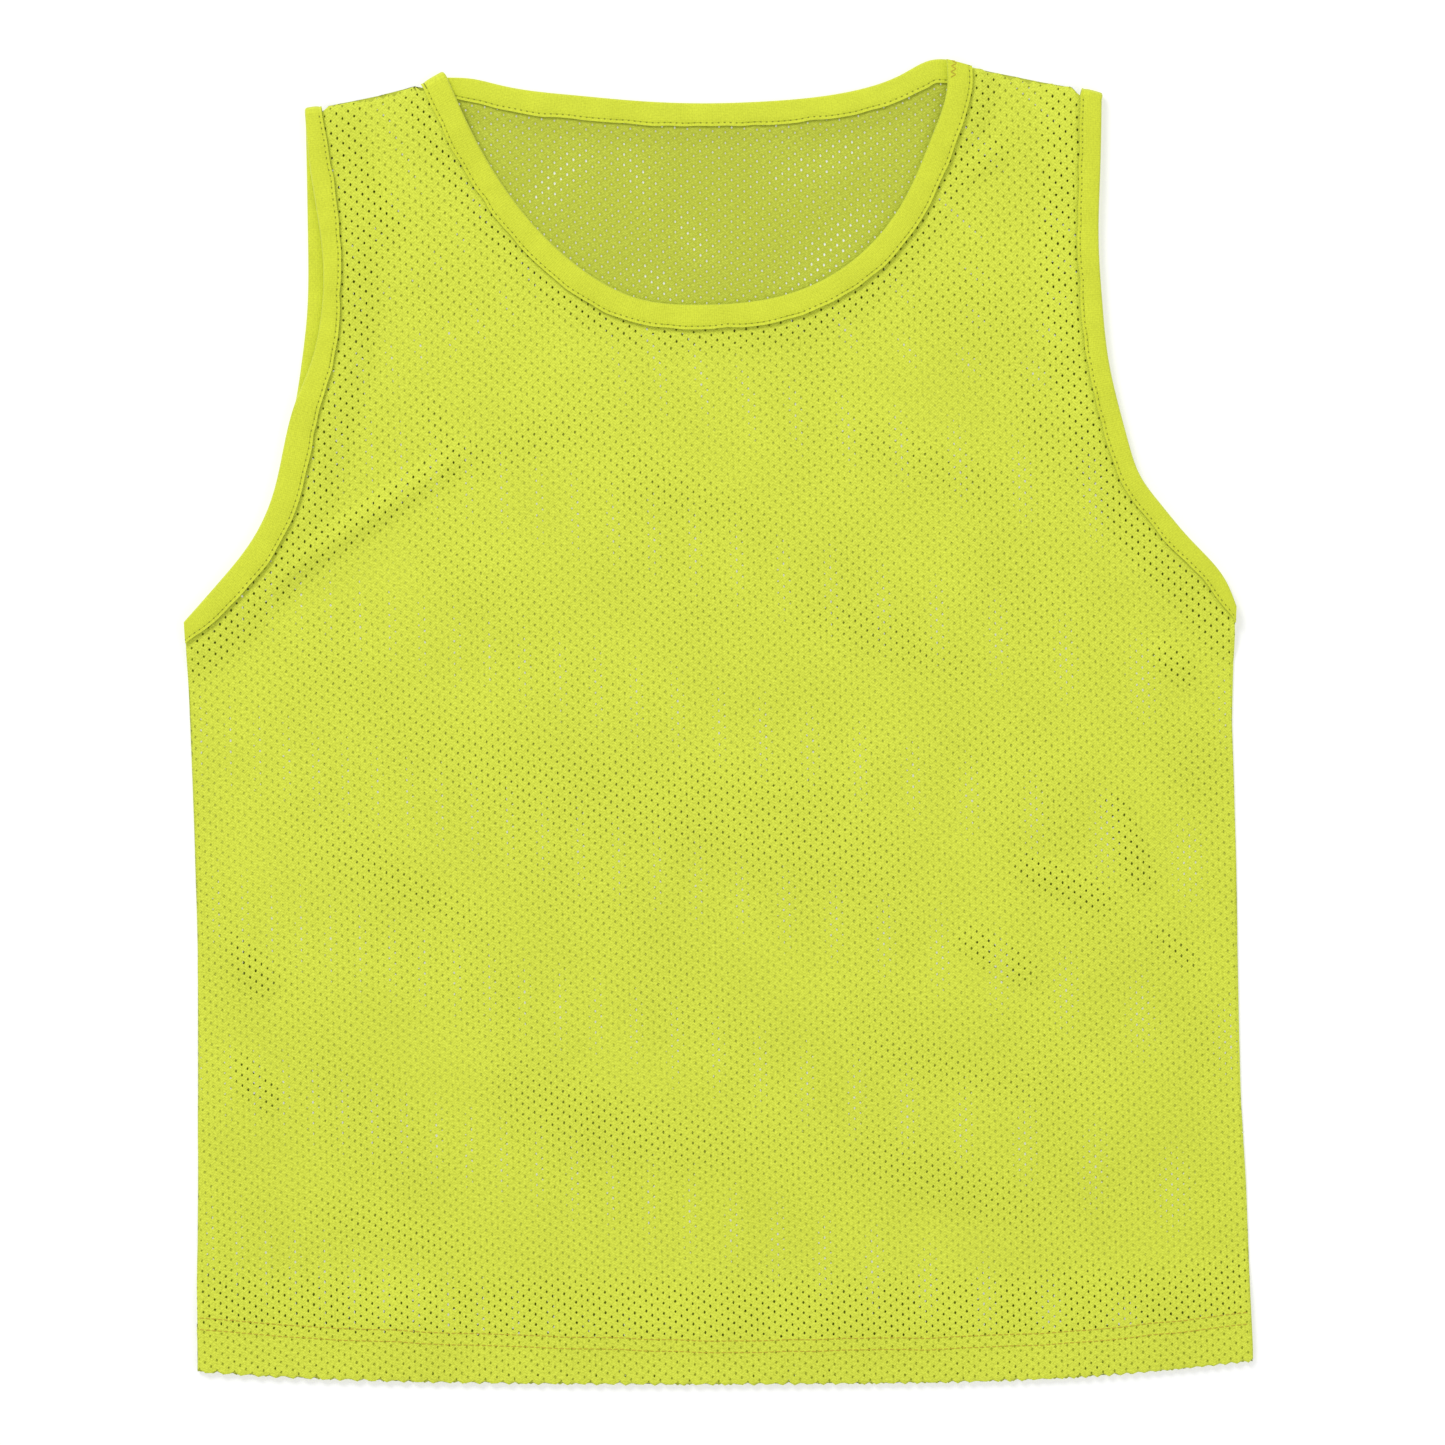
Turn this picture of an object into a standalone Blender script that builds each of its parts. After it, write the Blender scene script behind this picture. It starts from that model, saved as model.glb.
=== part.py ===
"""Mesh training bib, laid flat on its back with its neck towards +Y.

Five cut pieces: a front and a back panel, each with its hem turned in, one strip that binds the
neck and one that binds each armhole. Every piece is a thin wall of cloth. The garment lies on
Z = 0, with its origin under the middle of its outline. Sizes below are in millimetres.
"""

import copy
import math

import bmesh
import bpy
import numpy as np
from mathutils import Vector
from mathutils.geometry import delaunay_2d_cdt

MM = 0.001

# The cloth's wall, and the gap that sewn layers keep between them
WALL = 1.0
GAP = 0.3
LAYER = WALL + GAP

# A bound edge is a panel between the two legs of its binding
BOUND = 3 * WALL + 2 * GAP
OVER_BOUND = BOUND + GAP
FOLD_AXIS = BOUND + GAP / 2
SLOT_END = 1.1
PANEL_INSET = SLOT_END + GAP
NOSE = 0.4
NOSE_RISE = 0.6
NOSE_LENGTH = 1.4
SECTION_STEP = 10.0
TURN_LENGTH = 20.0
TURN_STEPS = 6
RING_OFFSET = 0.8
READINGS_PER_ROW = 40

# How far a panel takes to come down from what lifts it
FRONT_REACH = 22.0
NECK_REACH = 14.0
BACK_REACH = 8.0
HEM_REACH = 35.0
NECK_POINT_FLAT = 18.0
NECK_POINT_FALL = 40.0

# The hem, turned in once
HEM_DEPTH = 25.0
HEM_FLAT = 26.0
HEM_NOSE = 0.5
HEM_STATIONS = 30

# Spacing of the points inside a panel and down its sides
SIDE_STEP = 17.0
FRONT_SPACING = 18.0
BACK_SPACING = 26.0
FOLD_FADE_START = 14.0
FOLD_FADE_LENGTH = 12.0
GRID_LOW = (-262.0, -325.0)
GRID_HIGH = (264.0, 315.0)
GRID_ROW = 0.87
RIPPLE_STEP = 14.0
RIPPLE_SPAN = (0.06, 0.94)
BESIDE_BINDING = (11.0, 23.0)
END_SHARES = (1.0, 0.7, 0.4)

# How near a point may be to the rim and to other points, as shares of the spacing
RIM_ROOM = 0.45
RIPPLE_ROOM = 0.42
BESIDE_ROOM = 0.5
BACK_BESIDE_ROOM = 0.28
GRID_ROOM = 0.62

# Side seams. Columns: y, x
LEFT_SIDE = (
    (50.0, -267.0),
    (39.5, -266.3),
    (11.0, -264.8),
    (-49.0, -262.5),
    (-109.0, -260.6),
    (-229.0, -260.5),
    (-289.0, -261.0),
    (-325.0, -260.7),
)
RIGHT_SIDE = (
    (58.0, 258.2),
    (41.0, 257.5),
    (1.0, 256.5),
    (-29.0, 257.5),
    (-69.0, 258.5),
    (-149.0, 260.0),
    (-189.0, 261.0),
    (-229.0, 263.5),
    (-289.0, 265.6),
    (-319.5, 267.0),
)

# Hem fold. Columns: x, y
HEM_LINE = (
    (-260.7, -325.2),
    (-214.5, -328.0),
    (-139.5, -330.4),
    (-64.5, -331.3),
    (-14.5, -331.5),
    (60.5, -331.1),
    (160.5, -328.9),
    (210.5, -325.6),
    (267.0, -319.7),
)

# Shoulder seams between the bindings, from the neck outwards. Columns: x, y
LEFT_SEAM = (
    (-151.8, 317.9),
    (-169.5, 313.2),
    (-183.0, 310.4),
    (-195.3, 308.0),
)
RIGHT_SEAM = (
    (133.0, 325.6),
    (146.0, 323.0),
    (160.5, 320.0),
    (176.5, 317.2),
)
BACK_NECK_CORNER = (121.8, 328.7)

# Folded edge of each binding, from one end of its run to the other. Columns: x, y, width
NECK_FRONT = (
    (113.5, 330.8, 13.2),
    (114.0, 318.5, 12.5),
    (106.5, 293.0, 12.5),
    (91.0, 258.5, 12.5),
    (62.0, 227.0, 12.5),
    (35.0, 214.0, 12.5),
    (-10.0, 208.5, 12.5),
    (-38.0, 211.0, 12.5),
    (-71.5, 228.5, 12.5),
    (-105.0, 264.0, 12.5),
    (-122.0, 292.0, 12.5),
    (-135.8, 322.0, 13.1),
)
NECK_BACK = (
    (-135.8, 322.0, 13.1),
    (-124.5, 321.6, 12.0),
    (-109.5, 318.3, 12.0),
    (-72.0, 313.2, 12.0),
    (-42.0, 310.5, 12.0),
    (-9.5, 309.2, 12.0),
    (25.5, 310.3, 12.0),
    (70.5, 316.2, 12.0),
    (92.0, 324.0, 12.0),
    (107.0, 331.0, 12.0),
    (118.0, 330.6, 12.0),
)
LEFT_ARM_FRONT = (
    (-267.0, 50.0, 10.8),
    (-248.5, 71.0, 12.7),
    (-233.0, 91.0, 13.0),
    (-223.5, 111.0, 13.3),
    (-218.5, 131.0, 13.8),
    (-212.0, 158.0, 13.3),
    (-204.5, 177.0, 11.5),
    (-199.5, 197.0, 9.8),
    (-197.6, 228.0, 9.2),
    (-200.0, 250.0, 10.5),
    (-204.6, 280.0, 10.5),
    (-206.6, 303.0, 8.5),
)
LEFT_ARM_BACK = (
    (-206.6, 303.0, 8.5),
    (-206.2, 285.0, 11.0),
    (-205.4, 240.0, 12.0),
    (-205.8, 205.0, 12.0),
    (-208.5, 180.0, 12.0),
    (-212.0, 158.0, 12.0),
    (-218.5, 131.0, 12.0),
    (-223.5, 111.0, 12.0),
    (-233.0, 91.0, 12.0),
    (-248.5, 71.0, 12.0),
    (-267.0, 50.0, 10.8),
)
RIGHT_ARM = (
    (258.2, 58.0, 8.5),
    (253.0, 70.5, 9.0),
    (235.5, 91.0, 10.0),
    (219.5, 110.0, 10.0),
    (210.5, 122.5, 10.0),
    (204.0, 141.0, 10.5),
    (198.7, 161.0, 11.0),
    (194.4, 181.0, 11.0),
    (191.2, 211.0, 11.0),
    (189.5, 240.0, 10.8),
    (190.3, 275.0, 10.8),
    (191.0, 310.4, 11.0),
)

# Ways of the end sections, from the folded edge to the stitched one. Columns: x, y
LEFT_TIP_WAY = (0.995, 0.1)
RIGHT_TIP_WAY = (-0.971, 0.239)
LEFT_NECK_WAY = (-0.858, -0.514)
RIGHT_NECK_WAY = (0.965, -0.262)
LEFT_SIDE_WAY = (0.067, -0.998)
RIGHT_SIDE_WAY = (-0.041, -0.999)

# Soft ripples of the front. Columns: start x, start y, end x, end y, height, half width
RIPPLES = (
    (-238.0, 60.0, -118.0, 142.0, 3.0, 11.0),
    (-196.0, 288.0, -158.0, 240.0, 2.4, 13.0),
    (112.0, 268.0, 146.0, 290.0, 2.0, 11.0),
    (216.0, 40.0, 240.0, 18.0, 2.2, 11.0),
    (193.0, -34.0, 215.0, -86.0, 2.6, 11.0),
    (146.0, -68.0, 198.0, -92.0, 2.2, 11.0),
    (118.0, -104.0, 160.0, -130.0, 1.8, 13.0),
    (-254.0, -100.0, -222.0, -136.0, 2.2, 12.0),
    (-250.0, -164.0, -218.0, -194.0, 2.0, 12.0),
    (-178.0, -8.0, 100.0, -70.0, 1.6, 34.0),
)

YELLOW_MESH = (0.62, 0.71, 0.055)
YELLOW_KNIT = (0.66, 0.73, 0.05)
MESH_ROUGHNESS = 0.65
KNIT_ROUGHNESS = 0.6
SHARP_ANGLE = 40.0


def smoothstep(value):
    """Nought below 0, one above 1, and a soft S between."""
    share = np.clip(value, 0.0, 1.0)
    return share * share * (3.0 - 2.0 * share)


def unit(vectors):
    """Vectors of length one."""
    vectors = np.asarray(vectors, dtype=float)
    return vectors / np.linalg.norm(vectors, axis=-1, keepdims=True)


def spline(knots, values, places):
    """Natural cubic through the values at the knots, read at the places."""
    steps = np.diff(knots)
    slopes = np.diff(values, axis=0) / steps[:, None]
    system = np.eye(len(knots))
    load = np.zeros_like(values)
    for k in range(1, len(knots) - 1):
        system[k, k - 1] = steps[k - 1]
        system[k, k] = 2.0 * (steps[k - 1] + steps[k])
        system[k, k + 1] = steps[k]
        load[k] = 6.0 * (slopes[k] - slopes[k - 1])
    bends = np.linalg.solve(system, load)
    cell = np.clip(np.searchsorted(knots, places) - 1, 0, len(steps) - 1)
    step = steps[cell][:, None]
    after = (places - knots[cell])[:, None]
    before = step - after
    return (
        bends[cell] * before**3 / (6.0 * step)
        + bends[cell + 1] * after**3 / (6.0 * step)
        + (values[cell] / step - bends[cell] * step / 6.0) * before
        + (values[cell + 1] / step - bends[cell + 1] * step / 6.0) * after
    )


def path_lengths(points):
    """Length of the path up to each of its points."""
    steps = np.linalg.norm(np.diff(points[:, :2], axis=0), axis=1)
    return np.concatenate(([0.0], np.cumsum(steps)))


def even_curve(rows, step):
    """A smooth curve through the rows, read at even steps of its length."""
    rows = np.array(rows)
    knots = path_lengths(rows)
    fine = spline(knots, rows, np.linspace(0.0, knots[-1], READINGS_PER_ROW * len(rows)))
    lengths = path_lengths(fine)
    places = np.linspace(0.0, lengths[-1], round(lengths[-1] / step) + 1)
    columns = [np.interp(places, lengths, fine[:, k]) for k in range(rows.shape[1])]
    return np.stack(columns, axis=1)


def segment_distance(points, line):
    """Distance from each point to a line of straight stretches, and the place along it."""
    start = line[:-1][None]
    along = np.diff(line, axis=0)[None]
    away = points[:, None] - start
    share = (away * along).sum(-1) / (along * along).sum(-1)
    share = np.clip(share, 0.0, 1.0)
    distance = np.linalg.norm(away - along * share[..., None], axis=-1)
    nearest = distance.argmin(axis=1)
    rows = np.arange(len(points))
    return distance[rows, nearest], nearest + share[rows, nearest]


def inside(points, polygon):
    """True for each point that a ray from it crosses the polygon's rim an odd number of times."""
    first = polygon[None]
    second = np.roll(polygon, -1, axis=0)[None]
    x = points[:, None, 0]
    y = points[:, None, 1]
    spans = (first[..., 1] > y) != (second[..., 1] > y)
    rise = np.where(spans, second[..., 1] - first[..., 1], 1.0)
    crossing = first[..., 0] + (y - first[..., 1]) * (second[..., 0] - first[..., 0]) / rise
    return (spans & (x < crossing)).sum(axis=1) % 2 == 1


class Run:
    """One run of binding: its folded edge, the way to its stitched edge, and its width."""

    def __init__(self, rows, cloth_side, start_way=None, end_way=None):
        points = even_curve(rows, SECTION_STEP)
        self.edge = points[:, :2]
        self.width = points[:, 2]
        heading = unit(np.gradient(self.edge, axis=0))
        across = cloth_side * np.stack([-heading[:, 1], heading[:, 0]], axis=1)
        arc = path_lengths(self.edge)
        for way, away in ((start_way, arc), (end_way, arc[-1] - arc)):
            if way is not None:
                share = smoothstep(1.0 - away / TURN_LENGTH)[:, None]
                across = unit(across * (1.0 - share) + unit(way) * share)
        self.across = across
        self.arc = arc

    def line(self, inset):
        """The line that lies this far inside the folded edge."""
        return self.edge + self.across * inset

    def stitch_line(self):
        """The line just past the stitched edge, where the panel comes out."""
        return self.line((self.width + RING_OFFSET)[:, None])

    def lift(self, points, height, reach):
        """Full height under the binding, falling softly to nothing at the reach."""
        line = self.stitch_line()
        polygon = np.concatenate([self.edge, line[::-1]])
        distance, _ = segment_distance(points, np.concatenate([polygon, polygon[:1]]))
        distance = np.where(inside(points, polygon), 0.0, distance)
        _, place = segment_distance(points, line)
        target = np.interp(place, np.arange(len(line)), height)
        return target * (1.0 - smoothstep(distance / reach))

    def turned_round(self):
        """The same run, walked the other way."""
        other = copy.copy(self)
        other.edge = self.edge[::-1]
        other.across = self.across[::-1]
        other.width = self.width[::-1]
        other.arc = self.arc[-1] - self.arc[::-1]
        return other


def left_side(y):
    """X of the left side seam."""
    rows = np.array(LEFT_SIDE[::-1])
    return np.interp(y, rows[:, 0], rows[:, 1])


def right_side(y):
    """X of the right side seam."""
    rows = np.array(RIGHT_SIDE[::-1])
    return np.interp(y, rows[:, 0], rows[:, 1])


def hem_height(x):
    """Y of the hem fold."""
    rows = np.array(HEM_LINE)
    return spline(rows[:, 0], rows[:, 1:], np.atleast_1d(x))[:, 0]


def hem_points(depth):
    """The row of points this far above the hem fold, from the left side to the right."""
    share = np.linspace(0.0, 1.0, HEM_STATIONS + 1)
    fold_x = HEM_LINE[0][0] + share * (HEM_LINE[-1][0] - HEM_LINE[0][0])
    y = hem_height(fold_x) + depth
    return np.stack([left_side(y) + share * (right_side(y) - left_side(y)), y], axis=1)


def side_points(side, low, high):
    """Points up a side seam, between but not at these heights."""
    count = round((high - low) / SIDE_STEP)
    y = np.linspace(low, high, count + 1)[1:-1]
    return np.stack([side(y), y], axis=1)


def outward_of(way):
    """The way square to an end section that points off the garment's top."""
    turned = np.array([-way[1], way[0]])
    return unit(turned if turned[1] > 0 else -turned)


def profile(width):
    """Section of a binding: place from the folded edge, and height. It encloses a slot."""
    return np.array((
        (width, 0.0),
        (NOSE_LENGTH, 0.0),
        (NOSE, NOSE_RISE),
        (0.0, BOUND / 2),
        (NOSE, BOUND - NOSE_RISE),
        (NOSE_LENGTH, BOUND),
        (width, BOUND),
        (width, BOUND - WALL),
        (SLOT_END, BOUND - WALL),
        (SLOT_END, WALL),
        (width, WALL),
    ))


def run_sections(run, base, mirrored):
    """The binding's sections along a run. On the garment's back they are upside down."""
    sections = []
    for edge, across, width, height in zip(run.edge, run.across, run.width, base):
        shape = profile(width)
        rise = BOUND - shape[:, 1] if mirrored else shape[:, 1]
        flat = edge + across * shape[:, :1]
        sections.append(np.column_stack([flat, height + rise]))
    return sections


def half_turn(section, outward):
    """Sections that carry a run over the shoulder to the back, round a level axis."""
    radius = section[:, 2] - FOLD_AXIS
    sections = []
    for k in range(1, TURN_STEPS):
        angle = math.pi * k / TURN_STEPS
        flat = section[:, :2] + np.outer(radius * math.sin(angle), outward)
        sections.append(np.column_stack([flat, FOLD_AXIS + radius * math.cos(angle)]))
    return sections


def ripple_height(points):
    """Sum of the soft ripples: a hump along each line, rounded across it."""
    total = np.zeros(len(points))
    for start_x, start_y, end_x, end_y, height, half in RIPPLES:
        start = np.array([start_x, start_y])
        span = np.array([end_x, end_y]) - start
        length = np.linalg.norm(span)
        away = points - start
        along = away @ span / length**2
        across = (away[:, 0] * span[1] - away[:, 1] * span[0]) / length
        hump = np.clip(1.0 - (2.0 * along - 1.0) ** 2, 0.0, 1.0)
        ridge = 0.5 + 0.5 * np.cos(np.pi * np.clip(np.abs(across) / half, 0.0, 1.0))
        total += height * hump * ridge
    return total


def ripple_points():
    """Points on the crest and at both feet of each ripple."""
    points = []
    for start_x, start_y, end_x, end_y, _, half in RIPPLES:
        start = np.array([start_x, start_y])
        span = np.array([end_x, end_y]) - start
        length = np.linalg.norm(span)
        side = np.array([-span[1], span[0]]) / length
        count = max(3, round(length / RIPPLE_STEP))
        for share in np.linspace(*RIPPLE_SPAN, count):
            for offset in (0.0, half, -half):
                points.append(start + span * share + side * offset)
    return np.array(points)


def choose_points(outline, rings, candidates, spacing):
    """Candidates inside the outline that keep their distance from each other and from the rings."""
    taken = np.concatenate([outline] + rings)
    rim = np.concatenate([outline, outline[:1]])
    chosen = []
    for points, room in candidates:
        points = points[inside(points, outline)]
        distance, _ = segment_distance(points, rim)
        points = points[distance > RIM_ROOM * spacing]
        for point in points:
            near = np.linalg.norm(taken - point, axis=1).min()
            if near > room * spacing:
                taken = np.vstack([taken, point])
                chosen.append(point)
    return np.array(chosen)


def grid_points(spacing):
    """A staggered grid over the whole garment."""
    points = []
    rise = spacing * GRID_ROW
    rows = int((GRID_HIGH[1] - GRID_LOW[1]) / rise)
    for row in range(rows + 1):
        y = GRID_LOW[1] + row * rise
        shift = 0.5 * spacing * (row % 2)
        points += [(x + shift, y) for x in np.arange(GRID_LOW[0], GRID_HIGH[0], spacing)]
    return np.array(points)


def triangulate(outline, rings, loose):
    """Flat triangles that fill the outline and keep its rings as edges."""
    points = [Vector(point) for point in outline]
    edges = []
    for ring in rings:
        first = len(points)
        points += [Vector(point) for point in ring]
        edges += [(k, k + 1) for k in range(first, first + len(ring) - 1)]
    points += [Vector(point) for point in loose]
    rim = list(range(len(outline)))
    flat, _, faces, sources, _, _ = delaunay_2d_cdt(points, edges, [rim], 1, 1e-4)
    flat = np.array([tuple(point) for point in flat])
    turned = []
    for face in faces:
        a, b, c = (flat[k] for k in face)
        area = (b[0] - a[0]) * (c[1] - a[1]) - (b[1] - a[1]) * (c[0] - a[0])
        turned.append(tuple(face) if area > 0 else tuple(face[::-1]))
    station = [min((k for k in source if k < len(outline)), default=-1) for source in sources]
    return flat, turned, station


def rim_edges(faces):
    """Edges that only one triangle has, in that triangle's order."""
    owned = {(face[k], face[(k + 1) % 3]) for face in faces for k in range(3)}
    return [edge for edge in owned if edge[::-1] not in owned]


def new_object(name, mesh_data, colour, roughness):
    """A named object from a bmesh, with its own material."""
    mesh_data.normal_update()
    bmesh.ops.triangulate(mesh_data, faces=mesh_data.faces[:])
    bmesh.ops.recalc_face_normals(mesh_data, faces=mesh_data.faces[:])
    if mesh_data.calc_volume(signed=True) < 0.0:
        bmesh.ops.reverse_faces(mesh_data, faces=mesh_data.faces[:])
    mesh = bpy.data.meshes.new(name)
    mesh_data.to_mesh(mesh)
    mesh_data.free()
    mesh.shade_smooth()
    mesh.set_sharp_from_angle(angle=math.radians(SHARP_ANGLE))
    material = bpy.data.materials.new(name)
    material.use_nodes = True
    shader = material.node_tree.nodes["Principled BSDF"]
    shader.inputs["Base Color"].default_value = (*colour, 1.0)
    shader.inputs["Roughness"].default_value = roughness
    shader.inputs["Metallic"].default_value = 0.0
    mesh.materials.append(material)
    piece = bpy.data.objects.new(name, mesh)
    bpy.context.scene.collection.objects.link(piece)
    return piece


def swept_piece(name, sections):
    """A strip of cloth through its sections, closed at both ends."""
    build = bmesh.new()
    rings = [[build.verts.new(point * MM) for point in section] for section in sections]
    for near, far in zip(rings[:-1], rings[1:]):
        for k in range(len(near)):
            after = (k + 1) % len(near)
            build.faces.new((near[k], near[after], far[after], far[k]))
    build.faces.new(rings[0][::-1])
    build.faces.new(rings[-1])
    return new_object(name, build, YELLOW_KNIT, KNIT_ROUGHNESS)


def panel_piece(name, flat, faces, station, low, hem_rows, lower_is_fold):
    """A panel's wall between its lower and upper sheets, with its hem turned in.

    hem_rows are the depth and height of the rows that carry the wall round the hem, from the
    lower sheet to the upper one. The sheet that forms the fold's outside ends first.
    """
    high = low + WALL
    lower_flat = flat.copy()
    upper_flat = flat.copy()
    hem = {k: station[k] for k in range(len(flat)) if 0 <= station[k] <= HEM_STATIONS}
    inner = hem_points(WALL)
    for k, place in hem.items():
        (upper_flat if lower_is_fold else lower_flat)[k] = inner[place]
    build = bmesh.new()
    lower = [build.verts.new((*point, z)) for point, z in zip(lower_flat * MM, low * MM)]
    upper = [build.verts.new((*point, z)) for point, z in zip(upper_flat * MM, high * MM)]
    for a, b, c in faces:
        build.faces.new((upper[a], upper[b], upper[c]))
        build.faces.new((lower[c], lower[b], lower[a]))
    rows = [
        np.column_stack([hem_points(depth), np.full(HEM_STATIONS + 1, height)])
        for depth, height in hem_rows
    ]
    chain = {}
    for k, place in hem.items():
        chain[k] = [lower[k]] + [build.verts.new(row[place] * MM) for row in rows] + [upper[k]]
    for a, b in rim_edges(faces):
        if a in hem and b in hem:
            for k in range(len(rows) + 1):
                build.faces.new((chain[a][k], chain[b][k], chain[b][k + 1], chain[a][k + 1]))
        else:
            build.faces.new((lower[a], lower[b], upper[b], upper[a]))
    for k, place in hem.items():
        if place == 0:
            build.faces.new(chain[k])
        if place == HEM_STATIONS:
            build.faces.new(chain[k][::-1])
    return new_object(name, build, YELLOW_MESH, MESH_ROUGHNESS)


def raw_edge(run, way):
    """The panel's edge inside a binding, kept short of the fold over the shoulder."""
    edge = run.line(PANEL_INSET)
    edge[-1] -= outward_of(way) * GAP
    return edge


def beside_fold(run, way):
    """The panel's corner just inside a binding's fold over the shoulder, and its corner beside it."""
    outward = outward_of(way)
    end = run.stitch_line()[-1]
    return np.array([end - outward * GAP, end + outward * (FOLD_AXIS - GAP)])


def panel_outline(right_arm, neck, left_arm, neck_right_corner):
    """The panel's rim, counter-clockwise from the left end of its hem.

    right_arm runs up from the underarm, neck runs from right to left and left_arm runs up.
    """
    hem = hem_points(HEM_NOSE)
    right_foot = right_arm.stitch_line()[:1]
    left_foot = left_arm.stitch_line()[:1]
    parts = [
        hem,
        side_points(right_side, hem[-1, 1], right_foot[0, 1]),
        right_foot,
        raw_edge(right_arm, RIGHT_TIP_WAY),
        beside_fold(right_arm, RIGHT_TIP_WAY),
        np.array(RIGHT_SEAM)[::-1],
        neck_right_corner,
        raw_edge(neck, LEFT_NECK_WAY),
        beside_fold(neck, LEFT_NECK_WAY),
        np.array(LEFT_SEAM),
        beside_fold(left_arm, LEFT_TIP_WAY)[::-1],
        raw_edge(left_arm, LEFT_TIP_WAY)[::-1],
        left_foot,
        side_points(left_side, hem[0, 1], left_foot[0, 1])[::-1],
    ]
    return np.concatenate(parts)


def make_panel(name, outline, rings, loose, height_of, hem_rows, lower_is_fold):
    """A panel from its rim, the lines beside its bindings and the points inside it."""
    flat, faces, station = triangulate(outline, rings, loose)
    low = height_of(flat, outline)
    return panel_piece(name, flat, faces, station, low, hem_rows, lower_is_fold)


def make_bib():
    """The whole garment, with its origin under the middle of its outline."""
    neck_front = Run(NECK_FRONT, 1.0, RIGHT_NECK_WAY, LEFT_NECK_WAY)
    neck_back = Run(NECK_BACK, -1.0, LEFT_NECK_WAY, None)
    left_front = Run(LEFT_ARM_FRONT, -1.0, LEFT_SIDE_WAY, LEFT_TIP_WAY)
    left_back = Run(LEFT_ARM_BACK, 1.0, LEFT_TIP_WAY, LEFT_SIDE_WAY)
    right_front = Run(RIGHT_ARM, 1.0, RIGHT_SIDE_WAY, RIGHT_TIP_WAY)
    right_back = right_front.turned_round()

    from_end = np.minimum(neck_front.arc, neck_front.arc[-1] - neck_front.arc)
    drop = smoothstep((from_end - NECK_POINT_FLAT) / NECK_POINT_FALL)
    neck_base = OVER_BOUND + (LAYER - OVER_BOUND) * drop

    def front_low(points, outline):
        lifts = [
            neck_front.lift(points, neck_base, NECK_REACH),
            left_front.lift(points, np.full(len(left_front.edge), OVER_BOUND), FRONT_REACH),
            right_front.lift(points, np.full(len(right_front.edge), OVER_BOUND), FRONT_REACH),
        ]
        above_hem = points[:, 1] - hem_height(points[:, 0])
        lifts.append(2 * LAYER * (1.0 - smoothstep((above_hem - HEM_FLAT) / HEM_REACH)))
        distance, _ = segment_distance(points, np.concatenate([outline, outline[:1]]))
        fade = smoothstep((distance - FOLD_FADE_START) / FOLD_FADE_LENGTH)
        return LAYER + np.max(lifts, axis=0) + ripple_height(points) * fade

    back_runs = (neck_back, left_back, right_back)

    def back_low(points, _outline):
        lifts = [run.lift(points, np.full(len(run.edge), LAYER), BACK_REACH) for run in back_runs]
        return np.max(lifts, axis=0)

    hem_top = 3 * LAYER + WALL
    back_hem = (
        (0.0, HEM_NOSE),
        (0.0, LAYER + WALL - HEM_NOSE),
        (HEM_NOSE, LAYER + WALL),
        (HEM_DEPTH, LAYER + WALL),
        (HEM_DEPTH, LAYER),
        (WALL, LAYER),
    )
    front_hem = tuple((depth, hem_top - z) for depth, z in back_hem[::-1])

    front_corner = np.array([neck_front.stitch_line()[0]])
    front_outline = panel_outline(right_front, neck_front, left_front, front_corner)
    back_corner = np.array([BACK_NECK_CORNER])
    back_outline = panel_outline(
        right_front, neck_back.turned_round(), left_back.turned_round(), back_corner
    )

    front_runs = (neck_front, left_front, right_front)
    front_beside = [
        run.stitch_line() + run.across * away for away in BESIDE_BINDING for run in front_runs
    ]
    front_candidates = (
        (ripple_points(), RIPPLE_ROOM),
        (np.concatenate(front_beside), BESIDE_ROOM),
        (grid_points(FRONT_SPACING), GRID_ROOM),
    )
    back_beside = [run.stitch_line() + run.across * BACK_REACH for run in back_runs]
    back_candidates = (
        (np.concatenate(back_beside), BACK_BESIDE_ROOM),
        (grid_points(BACK_SPACING), GRID_ROOM),
    )

    hem_ring = hem_points(HEM_FLAT)[1:-1]
    front_rings = [run.stitch_line()[1:-1] for run in front_runs] + [hem_ring]
    front_loose = choose_points(front_outline, front_rings, front_candidates, FRONT_SPACING)
    end_reach = np.array(END_SHARES) * (neck_back.width[-1] + RING_OFFSET)
    across_end = neck_back.edge[-1] + np.outer(end_reach, neck_back.across[-1])
    back_rings = [run.stitch_line()[1:-1] for run in back_runs] + [across_end, hem_ring]
    back_loose = choose_points(back_outline, back_rings, back_candidates, BACK_SPACING)
    pieces = [
        make_panel("front_panel", front_outline, front_rings, front_loose, front_low, front_hem, False),
        make_panel("back_panel", back_outline, back_rings, back_loose, back_low, back_hem, True),
    ]

    neck = run_sections(neck_front, neck_base, False)
    neck += half_turn(neck[-1], outward_of(LEFT_NECK_WAY))
    neck += run_sections(neck_back, np.zeros(len(neck_back.edge)), True)
    pieces.append(swept_piece("neck_binding", neck))
    for name, front, back, way in (
        ("armhole_binding_left", left_front, left_back, LEFT_TIP_WAY),
        ("armhole_binding_right", right_front, right_back, RIGHT_TIP_WAY),
    ):
        strip = run_sections(front, np.full(len(front.edge), OVER_BOUND), False)
        strip += half_turn(strip[-1], outward_of(way))
        strip += run_sections(back, np.zeros(len(back.edge)), True)
        pieces.append(swept_piece(name, strip))

    corners = np.array([vertex.co[:2] for piece in pieces for vertex in piece.data.vertices])
    middle = (corners.min(axis=0) + corners.max(axis=0)) / 2
    for piece in pieces:
        for vertex in piece.data.vertices:
            vertex.co.x -= middle[0]
            vertex.co.y -= middle[1]


def main():
    """An empty scene, and the bib in it."""
    for thing in list(bpy.data.objects):
        bpy.data.objects.remove(thing)
    make_bib()


main()
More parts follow.
